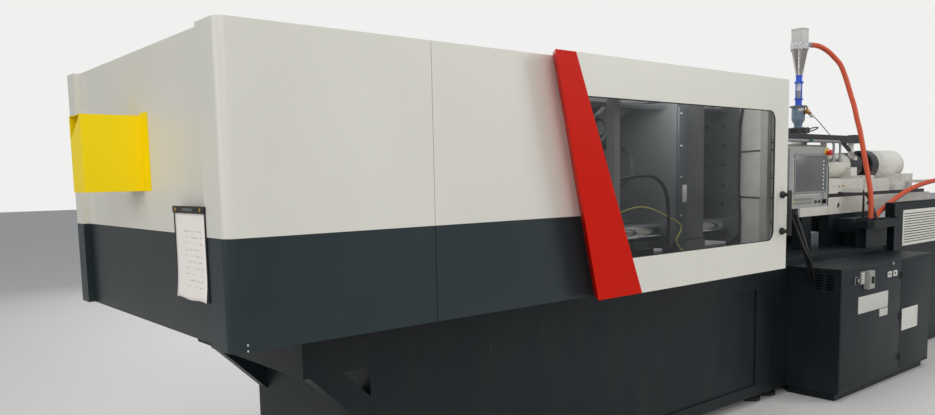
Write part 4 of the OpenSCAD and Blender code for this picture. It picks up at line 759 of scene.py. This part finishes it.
def makePanelFace(setup):
    face, low, left = setup["face"], setup["low"], setup["left"]
    x, z, wide, high = setup["screen"]
    shape = bmesh.new()
    addFrame(shape, frameOutline(x - 10, z - 10, wide + 20, high + 20, 9),
             frameOutline(x + 3, z + 3, wide - 6, high - 6, 5), face + 0.5, face - 5.5, 0)
    addPiece("screen_frame", shape, "machine", ["bezel"], soft=0.7)
    glass = bmesh.new()
    addBlock(glass, at(x, face - 3, z), at(x + wide, face - 0.2, z + high), 1.2)
    addPiece("screen_glass", glass, "machine", ["screen"], ("panel_screen",))
    # The front is as wide below the stop button's tab as it is at the tab
    side = bmesh.new()
    corner = (left, face, low)
    addRow(side, corner, (450, 0, 2), (522, 60, 330), 3, 0)
    addRow(side, corner, (518, 0.5, 2), (540, 84, 272), 3, 1)
    addRow(side, corner, (60, -1.6, 22), (74, 1, 58), 0.6, 2)
    addPiece("panel_front_side", side, "machine", ["panelGrey", "castDark", "yellowPlastic"])
    keys = bmesh.new()
    addRow(keys, corner, (40, -2.2, 108), (52, 0.4, 118), 0.8, 0, (0, 0, 19), 12)
    addRow(keys, (x + wide, face, z), (-44, -4.4, 16), (-30, -2.6, 27), 0.8, 1, (0, 0, 26), 8)
    addRow(keys, corner, (84, -2.2, 82), (99, 0.4, 91), 0.8, 0, (23, 0, 0), 14)
    for z0 in (26, 50):
        addRow(keys, corner, (60, -2.4, z0), (80, 0.4, z0 + 15), 1.2, 2, (28, 0, 0), 9)
    addPiece("panel_keys", keys, "machine", ["keyGrey", "whitePlastic", "bezel"])
    rings = bmesh.new()
    for x in setup["buttons"]:
        addLathe(rings, at(left + x, face + 0.5, low + 37), (0, -1, 0),
                 [(0, 10.4), (0, 14.5), (2.2, 14.5), (3.4, 13.4), (3.4, 10.4)], 24)
    addPiece("button_rings", rings, "machine", ["zinc"])
    knob = bmesh.new()
    addLathe(knob, at(left + setup["stop"][0], face - 32.8, low + setup["stop"][1]), (0, -1, 0),
             [(0, 19.8), (1, 19.4), (3.2, 17), (4.6, 12), (5, 2)], 28)
    addPiece("stop_dome", knob, "stop_knob", ["redPlastic"])
    housing = bmesh.new()
    addRow(housing, corner, (8, 30, 60), (21, 90, 90), 1.5, 0, (0, 0, 270), 2)
    addRow(housing, corner, (60, 109, 240), (80, 112, 360), 1, 0, (40, 0, 0), 9)
    addLathe(housing, at(*cableRoute[0]), (0, 0, -1),
             [(0, 29), (8, 29), (10, 27), (26, 27), (34, 24), (40, 22)], 24, 1)
    addPiece("panel_back_parts", housing, "machine", ["bezel", "black"])


makePanelFace(panelSetup)
patch("panel_housing", "yellowPlastic", (4182, -1086, 1809), (4250, -1079.2, 1880))
patch("panel_housing", "castDark", (3700, -968.6, 1500), (4300, -800, 1800))
patch("panel_housing", "black", (3870, -1060, 1470), (3950, -980, 1491))
print("operator panel made")

# Low cabinet: doors with hinges, switches, sockets, bare plates and vent
cabinetSetup = {"left": 4637, "face": -1009, "top": 1000, "sockets": (795, 900)}


def makeLowCabinet(setup):
    left, face, top = setup["left"], setup["face"], setup["top"]
    doors = bmesh.new()
    for x0, x1 in ((left + 10, left + 1066), (left + 1072, left + 1680)):
        addBlock(doors, at(x0, face - 2.2, 82), at(x1, face + 1, top - 30), 1.6, 0)
    for x in (1050, 1088):
        addRow(doors, (left, face, 0), (x - 4, -7, 152), (x + 4, -1, 208), 1.5, 1, (0, 0, 340), 3)
    addPiece("low_cabinet_doors", doors, "machine", ["baseDark", "black"])
    items = bmesh.new()
    corner = (left, face, top)
    addRow(items, corner, (217, -24, -130), (253, -12, -78), 3, 0)
    addRow(items, corner, (222, -28, -112), (230, -23, -92), 1, 1)
    addRow(items, corner, (308, -17, -132), (354, -13.5, -122), 1, 1, (0, 0, 17), 5)
    addRow(items, corner, (384, -46, -172), (466, -39.5, -54), 3, 2)
    addRow(items, corner, (416, -58, -140), (434, -44, -86), 3, 0)
    for x in setup["sockets"]:
        addFrame(items, frameOutline(left + x - 2, top - 132, 66, 46, 5),
                 frameOutline(left + x + 6, top - 124, 50, 30, 4), face - 7.5, face - 11, 1)
        addLathe(items, at(left + x + 31, face - 7.8, top - 109), (0, -1, 0),
                 [(0, 12), (1, 12), (1.2, 9), (0.4, 1)], 20, 0)
    addPiece("low_cabinet_fittings", items, "machine", ["black", "whitePlastic", "zinc"])
    plates = bmesh.new()
    addBlock(plates, at(4925, face - 3.6, 632), at(5455, face - 2, 762), 0.5, 0)
    addBlock(plates, at(5304, face - 3.6, 566), at(5455, face - 2, 626), 0.5, 0)
    for x in (4935, 5445):
        for z in (642, 752):
            addRivet(plates, at(x, face - 3.2, z), (0, -1, 0), 3.4, 1)
    addPiece("bare_plates", plates, "machine", ["keyGrey", "zinc"])
    vent = bmesh.new()
    addFrame(vent, frameOutline(left + 1092, top - 604, 318, 180, 4),
             frameOutline(left + 1108, top - 588, 286, 148, 3), face - 4.5, face - 10, 0)
    for k in range(13):
        z = top - 586 + k * 11.2
        blade = [at(left + 1108, face - 5, z), at(left + 1108, face - 9, z - 5),
                 at(left + 1394, face - 9, z - 5), at(left + 1394, face - 5, z)]
        low = [vent.verts.new(p) for p in blade]
        high = [vent.verts.new(p + Vector((0, 0.001, 0.0018))) for p in blade]
        bridge(vent, low, high)
        capEnds(vent, (low, high))
    addPiece("low_cabinet_vent", vent, "machine", ["whitePlastic"])


makeLowCabinet(cabinetSetup)
for x in (cabinetSetup["left"] + x for x in cabinetSetup["sockets"]):
    patch("low_cabinet", "whitePlastic", (x - 2, -1018, 868), (x + 64, -1009.2, 914))
patch("low_cabinet", "whitePlastic", (5731, -1016, 398), (6045, -1009.2, 574))
patch("low_cabinet", "panelGrey", (4850, -1052, 815), (5114, -1009.2, 958))
patch("low_cabinet", "zinc", (5505, -1020, 962), (5543, -1009.2, 986))

# Tall cabinet: grille screws, door lock and lid
tallSetup = {"left": 6440, "right": 8400, "face": -649, "top": 1420}


def makeTallCabinet(setup):
    left, right, face, top = setup["left"], setup["right"], setup["face"], setup["top"]
    shape = bmesh.new()
    addBlock(shape, at(6617, face - 6.6, 1019), at(7435, face - 1, 1024), 1.5, 0)
    for x in (6628, 7424):
        for z in (1032, 1342):
            addRivet(shape, at(x, face - 6, z), (0, -1, 0), 5, 1)
    addPiece("grille_screws", shape, "door", ["white", "zinc"])
    lock = bmesh.new()
    addBlock(lock, at(right - 112, face - 22, 764), at(right - 84, face - 13, 886), 3, 0)
    addLathe(lock, at(right - 98, face - 22, 790), (0, -1, 0), [(0, 9), (3, 9), (4, 7), (4, 2)], 20, 1)
    addPiece("door_lock", lock, "door", ["black", "zinc"])
    lid = bmesh.new()
    addBlock(lid, at(left - 1, -626, top - 1), at(right, -563.5, top + 4), 2, 0)
    addPiece("tall_cabinet_lid", lid, "machine", ["baseDark"])


makeTallCabinet(tallSetup)
print("cabinets made")

# Feed stack on the hopper axis: each turned part is a list of (height, radius) pairs
stackSetup = {
    "station": 5885,
    "base": [(2070, 101), (2112, 101), (2118, 96), (2119, 40)],
    "funnel": [(2119, 35), (2144, 35), (2158, 38), (2186, 55), (2202, 58), (2304, 58)],
    "plate": [(2304, 76), (2315, 76), (2317, 74)],
    "lowRing": [(2317, 34), (2326, 34), (2327, 29), (2372, 29)],
    "lowFlange": [(2372, 40), (2380, 40)],
    "tube": [(2380, 23), (2522, 23)],
    "highFlange": [(2522, 40), (2534, 40), (2536, 38)],
    "highRing": [(2536, 28), (2584, 28), (2586, 33), (2592, 33)],
    "cone": [(2592, 31), (2600, 31), (2817, 69), (2824, 71), (2868, 71)],
    "skirt": (2817, 2874),
    "receiver": {"low": 2872, "top": 3005, "halfLong": 50, "halfWide": 57},
    "pipe": (2881, 19, 240),
    "bail": [(5905, -97, 2100), (5920, -112, 2112), (5950, -126, 2118), (5985, -132, 2119),
             (6012, -124, 2116), (6022, -106, 2108), (6014, -86, 2098), (5992, -66, 2090),
             (5976, -50, 2088)],
}


def aroundStack(radius, turn, high):
    return at(stackSetup["station"] + radius * math.cos(turn), radius * math.sin(turn), high)


def turnedUp(shape, pairs, index=0, sides=48):
    first = pairs[0][0]
    addLathe(shape, at(stackSetup["station"], 0, first), (0, 0, 1),
             [(z - first, r) for z, r in pairs], sides, index)


def makeFunnel(setup):
    shape = bmesh.new()
    turnedUp(shape, setup["base"], 0)
    turnedUp(shape, setup["funnel"], 1)
    turnedUp(shape, setup["plate"], 2)
    for k in range(6):
        addScrew(shape, aroundStack(84, k * math.pi / 3, 2118.4), (0, 0, 1), 7, 3)
        addScrew(shape, aroundStack(65, k * math.pi / 3 + 0.4, 2316.6), (0, 0, 1), 4, 3)
    addPiece("feed_funnel", shape, unitBody, ["castDark", "funnel", "cast", "zinc"],
             ("hopper_funnel",), 35)
    bail = bmesh.new()
    addTube(bail, smoothLine([at(*p) for p in setup["bail"]], 0.006), 0.0055, 12, 0)
    addPiece("slide_base_bail", bail, unitBody, ["castDark"], smooth=60)
    tag = bmesh.new()
    rows = []
    for k in range(7):
        turn = math.radians(232 + (k - 3) * 9)
        rows.append([tag.verts.new(aroundStack(58.8, turn, z)) for z in (2266, 2297)])
    for a, b in zip(rows, rows[1:]):
        tag.faces.new((a[0], b[0], b[1], a[1]))
    thicken(addPiece("hopper_tag", tag, unitBody, ["whitePlastic"]), 1.2)


# Bleed valve on an arm from the funnel, with its fitting and its white plug
def makeValve():
    valve = bmesh.new()
    addLathe(valve, at(5889, -50, 2258), (0, -1, 0),
             [(0, 9), (6, 9), (7, 13), (20, 13), (21, 9), (30, 9)], 18, 1)
    addBlock(valve, at(5872, -98, 2240), at(5906, -66, 2280), 3, 0)
    addLathe(valve, at(5889, -82, 2279), (0, 0, 1),
             [(0, 10), (12, 10), (13, 7), (22, 7), (23, 4)], 6, 1)
    addLathe(valve, at(5873, -82, 2258), (-1, 0, 0), [(0, 10), (9, 10), (11, 8), (20, 8)], 6, 1)
    addLathe(valve, at(5889, -97, 2250), (0, -1, -0.2), [(0, 12), (12, 12), (14, 9), (22, 9)], 6, 1)
    addLathe(valve, at(5904, -82, 2262), (0.9, 0, -0.42),
             [(0, 9), (26, 9), (28, 16), (92, 16), (97, 7)], 18, 2)
    addPiece("bleed_valve", valve, unitBody, ["brass", "copper", "whitePlastic"])


def makeGlass(setup):
    shape = bmesh.new()
    for part in ("lowRing", "lowFlange", "highFlange", "highRing"):
        turnedUp(shape, setup[part], 0)
    turnedUp(shape, setup["tube"], 1)
    for k in range(4):
        turn = math.radians(252) + k * math.pi / 2
        addLathe(shape, aroundStack(35, turn, 2378), (0, 0, 1), [(0, 5), (146, 5)], 12, 0)
        for z, way in ((2380, 1), (2522, -1)):
            addLathe(shape, aroundStack(35, turn, z), (0, 0, way), [(0, 8.6), (6, 8.6), (7, 7.4)], 6, 0)
    addPiece("feed_sight_glass", shape, unitBody, ["blueDeep", "clear"],
             ("sight_glass",), 35)
    grain = bmesh.new()
    rings = []
    low, high, sides, count = 2381, 2520, 32, 34
    for j in range(count + 1):
        z = low + (high - low) * j / count
        ring = []
        for k in range(sides):
            radius = 21.4 + chance.uniform(-1, 0.6)
            ring.append(grain.verts.new(aroundStack(radius, 2 * math.pi * k / sides, z)))
        rings.append(ring)
    for j, (a, b) in enumerate(zip(rings, rings[1:])):
        bridge(grain, a, b, 0 if j > count * 0.5 else 1)
    capEnds(grain, rings)
    addPiece("granulate", grain, unitBody, ["pellets", "pelletsLow"], smooth=25)


def makeCone(setup):
    shape = bmesh.new()
    turnedUp(shape, setup["cone"], 0, 64)
    z, radius, along = setup["pipe"]
    addLathe(shape, at(setup["station"] + 40, 1, z), (1, 0, 0),
             [(0, radius), (along - 68, radius), (along - 66, radius + 3), (along - 60, radius + 3),
              (along - 58, radius), (along - 20, radius), (along - 18, radius - 3)], 28, 1)
    addPiece("feed_cone", shape, unitBody, ["cone", "steel"], ("cone_hopper",), 35)
    low, top = setup["skirt"]
    skirt = bmesh.new()
    sides, rows = 84, 8
    waves = [chance.uniform(-1, 1) for k in range(sides)]
    rings = []
    for j in range(rows + 1):
        swell = 2.5 * math.sin(math.pi * j / rows)
        ragged = 9 if j == 0 else 2
        ring = []
        for k in range(sides):
            radius = 74 + swell + 3 * waves[(k + j // 2) % sides] + 2.2 * math.sin(k * 0.9 + j)
            z = low + (top - low) * j / rows + ragged * waves[(3 * k + j) % sides]
            ring.append(skirt.verts.new(aroundStack(radius, 2 * math.pi * k / sides, z)))
        rings.append(ring)
    for a, b in zip(rings, rings[1:]):
        bridge(skirt, a, b)
    thicken(addPiece("receiver_skirt", skirt, unitBody, ["crinkled"], smooth=60), 1.2, -1)


def makeReceiver(setup):
    box = setup["receiver"]
    x, a, b = setup["station"], box["halfLong"], box["halfWide"]
    low, top = box["low"], box["top"]
    shape = bmesh.new()
    addBlock(shape, at(x - a, -b, low), at(x + a, b, top - 4), 4, 0)
    addBlock(shape, at(x - a - 3, -b - 3, top - 12), at(x + a + 3, b + 3, top), 3, 0)
    addBlock(shape, at(x - a - 3, -b - 3, low + 2), at(x + a + 3, b + 3, low + 12), 2, 0)
    addBlock(shape, at(x + a + 3, -34, low + 32), at(x + a + 42, 10, top), 3, 1)
    for y in (-b + 10, b - 10):
        addRivet(shape, at(x - a - 2.6, y, top - 6), (-1, 0, 0), 4, 2)
    addPiece("vacuum_receiver", shape, unitBody, ["keyGrey", "whitePlastic", "zinc"],
             ("loader_receiver",), 35)


makeFunnel(stackSetup)
makeValve()
makeGlass(stackSetup)
makeCone(stackSetup)
makeReceiver(stackSetup)
patch("hydraulic_tubes", "clampGreen", (5110, -260, 1960), (5172, -160, 2020))
patch("hydraulic_tubes", "clampGreen", (5640, -260, 1960), (5700, -160, 2020))
patch("hydraulic_tubes", "clampGreen", (4726, -260, 1860), (4794, -160, 1976))
patch("carriage", "castDark", (6150, -580, 1235), (6325, -286, 1500))
patch("support_beam", "chrome", (6642, -144, 1850), (6772, -114, 1921))
patch("drive_housing", "castDark", (7950, -560, 1560), (8140, -300, 1700))
print("hopper made")

# Injection unit: flange screws, foot screws and grease points
unitSetup = {"flange": 6949, "screwCircle": 104, "screws": 10, "feet": (5895, 6610),
             "grease": (5960, 6060, 6160)}


def screwCircle(shape, x, axis, radius, count, start):
    for k in range(count):
        turn = 2 * math.pi * k / count + start
        spot = at(x, radius * math.cos(turn), axisHigh + radius * math.sin(turn))
        addScrew(shape, spot, axis, 9, 0)


def makeUnitTrim(setup):
    shape = bmesh.new()
    screwCircle(shape, setup["flange"], (1, 0, 0), setup["screwCircle"], setup["screws"], 0.3)
    for x in setup["feet"]:
        for y in (-270, 270):
            addScrew(shape, at(x, y, axisHigh - 119.5), (0, 0, 1), 11, 0)
    addPiece("unit_screws", shape, unitBody, ["castDark"])
    grease = bmesh.new()
    for x in setup["grease"]:
        addLathe(grease, at(x, -302, 1585), (0, -1, 0),
                 [(-4, 7), (4, 7), (5, 5), (11, 5), (13, 6.4), (17, 5), (19, 3)], 12, 0)
    addPiece("grease_points", grease, unitBody, ["brass"])


makeUnitTrim(unitSetup)


# Cable held at both ends on one body: its points are listed
def makeCable(name, route, body, wide, held="black"):
    line = smoothLine([at(*p) for p in route], 0.012)
    shape = bmesh.new()
    addTube(shape, line, wide / 2000, 12)
    cable = addPiece(name, shape, body, [held], smooth=80)
    lineLength(line)
    line[::2] + [line[-1]]


valveCable = [
    (5980, -84, 2236), (6006, -88, 2219), (6028, -93, 2204), (6048, -98, 2190), (6070, -103, 2175),
    (6092, -107, 2159), (6114, -111, 2143), (6136, -115, 2127), (6158, -119, 2111), (6180, -122, 2095),
    (6202, -125, 2080), (6218, -127, 2069), (6230, -128, 2061), (6240, -129, 2054),
]
trayCable = [
    (6222, -420, 1543), (6258, -423, 1541), (6290, -436, 1526), (6306, -456, 1494), (6304, -480, 1456),
    (6292, -502, 1418), (6275, -524, 1382), (6254, -546, 1348), (6230, -568, 1318), (6204, -590, 1292),
    (6174, -612, 1270), (6140, -630, 1254), (6102, -643, 1247),
]
makeCable("valve_cable", valveCable, unitBody, 7)
makeCable("carriage_cable", trayCable, unitBody, 26)
print("injection unit trimmed")

# Mould area, seen through the gate: hose and earth wire from the guard's post to a box on the base
hoseRoute = [
    (2178, -884, 1566), (2196, -862, 1590), (2232, -818, 1612), (2290, -752, 1634), (2350, -694, 1650),
    (2416, -648, 1664), (2490, -622, 1675), (2584, -620, 1693), (2684, -620, 1706), (2790, -620, 1714),
    (2898, -620, 1710), (2980, -620, 1676), (3034, -620, 1620), (3060, -620, 1545), (3068, -620, 1460),
    (3068, -620, 1370), (3066, -620, 1280), (3064, -618, 1190), (3064, -614, 1088),
]
wireRoute = [
    (2178, -884, 1400), (2198, -858, 1414), (2250, -800, 1430), (2330, -730, 1446), (2420, -668, 1464),
    (2500, -636, 1478), (2581, -622, 1494), (2680, -620, 1514), (2780, -620, 1523), (2885, -620, 1510),
    (2981, -620, 1482), (3080, -620, 1446), (3160, -620, 1416), (3205, -620, 1386), (3200, -620, 1350),
    (3170, -620, 1318), (3156, -620, 1288), (3180, -620, 1256), (3222, -620, 1230), (3252, -620, 1200),
    (3264, -616, 1160), (3266, -612, 1088),
]


def makeMouldArea():
    makeCable("mould_area_hose", hoseRoute, "machine", 24)
    makeCable("earth_wire", wireRoute, "machine", 9, "wireGreen")
    shape = bmesh.new()
    addBlock(shape, at(3020, -640, 1036), at(3310, -594.5, 1112), 3, 0)
    for z in (1566, 1400):
        addLathe(shape, at(2178, -890, z), (0, 1, 0),
                 [(0, 20), (8, 20), (10, 17), (22, 16), (24, 13)], 20, 0)
    addPiece("junction_box", shape, "machine", ["castDark"])
    strip = bmesh.new()
    addBlock(strip, at(3213, -597, 1190), at(3303, -581, 2146), 2, 0)
    addBlock(strip, at(3252, -598.2, 1536), at(3298, -596.6, 1648), 0.4, 1)
    for z in (1230, 1450, 1700, 1900, 2106):
        addScrew(strip, at(3232, -597, z), (0, -1, 0), 7, 2)
    addPiece("platen_side_strip", strip, "platen", ["stripGrey", "whitePlastic", "zinc"])


makeMouldArea()

# Cable down the slanted sheet beside the stationary platen: share along the sheet, height
guardDrop = [
    (0.8, 2200), (0.83, 2150), (0.88, 2096), (0.92, 2040), (0.93, 1960), (0.93, 1860), (0.935, 1760),
    (0.94, 1660), (0.93, 1580), (0.9, 1500), (0.88, 1430), (0.88, 1350), (0.88, 1270), (0.88, 1200),
]


# Point on that sheet: share along it, way out of it, height
def onSheet(share, out, z):
    return (3743 + 261 * share - 0.793 * out, -889.8 + 339.5 * share + 0.609 * out, z)


def makeGuardSheet():
    shape = bmesh.new()
    addBlock(shape, at(3742.4, -984, 1162), at(3745, -888, 2238), 0.4, 2)
    for z in (1866, 1550):
        addTube(shape, [at(*onSheet(0.01, 1, z)), at(*onSheet(0.97, 1, z))], 0.006, 8, 0)
        addTube(shape, [at(3741.4, -984, z), at(3741.4, -891, z)], 0.0055, 8, 0)
    for z in (1920, 1690, 1400):
        for y in (-944, -922):
            addRivet(shape, at(3742, y, z + 14), (-1, 0, 0), 4.5, 0)
        addTube(shape, [at(3739, -956, z - 8), at(3739, -912, z - 8)], 0.004, 8, 0)
    addPiece("guard_sheet_fittings", shape, "machine", ["stripGrey", "frame", "guardGrey"])
    makeCable("guard_cable", [onSheet(share, 14, z) for share, z in guardDrop], "machine", 18)


# Dark sheet behind the rear window, where the covers and the gate overlap
def makeStile():
    shape = bmesh.new()
    addBlock(shape, at(1786, 1060, 1282), at(2146, 1066, 2108), 1.5, 0)
    addPiece("rear_gate_inner_stile", shape, "rear_gate", ["castDark"])


# The front covers end behind the gate's band, so that the window looks onto the clamp
def makeShortCover(name, source, finishName, end):
    shape = bmesh.new()
    shape.from_mesh(cad[source].data)
    shape.transform(cad[source].matrix_world)
    bmesh.ops.remove_doubles(shape, verts=shape.verts[:], dist=0.00002)
    every = shape.verts[:] + shape.edges[:] + shape.faces[:]
    bmesh.ops.bisect_plane(shape, geom=every, plane_co=at(end, 0, 0), plane_no=(1, 0, 0),
                           clear_outer=True)
    rim = [edge for edge in shape.edges if edge.is_boundary]
    bmesh.ops.holes_fill(shape, edges=rim, sides=0)
    addPiece(name, shape, "machine", [finishName], (source,), 30)


coverEnds = {"upper": 1888, "lower": 2060}
makeGuardSheet()
makeShortCover("front_upper_covers_cut", "front_upper_covers", "white", coverEnds["upper"])
makeShortCover("front_lower_covers_cut", "front_lower_covers", "dark", coverEnds["lower"])
makeStile()
print("mould area made")

# Shelf across the injection base behind the tray, and the dark end of the feed cylinder
shelfSetup = {"from": 5990, "to": 6400, "low": 1166, "top": 1296, "underFitting": 1226}


def makeShelf(setup):
    start, end, low = setup["from"], setup["to"], setup["low"]
    shape = bmesh.new()
    addBlock(shape, at(start, -583, low), at(end, -466, setup["underFitting"]), 5, 0)
    addBlock(shape, at(start, -470, low), at(end, 560, setup["top"]), 5, 0)
    addBlock(shape, at(start + 30, -540, 1049), at(end - 40, -380, low + 2), 4, 0)
    addPiece("cross_shelf", shape, "machine", ["baseDark"])
    sleeve = bmesh.new()
    addLathe(sleeve, at(6696, 0, axisHigh), (1, 0, 0),
             [(0, 121), (0, 123.4), (4, 124.6), (252, 124.6), (253, 121)], 64, 0, True)
    addLathe(sleeve, at(7130, 0, axisHigh), (1, 0, 0),
             [(0, 122), (0, 146), (3, 149), (91, 149), (91, 122)], 64, 0, True)
    screwCircle(sleeve, 7130.5, (-1, 0, 0), 135, 12, 0.2)
    addPiece("feed_cylinder_sleeve", sleeve, unitBody, ["castDark"])


makeShelf(shelfSetup)
print("shelf made")
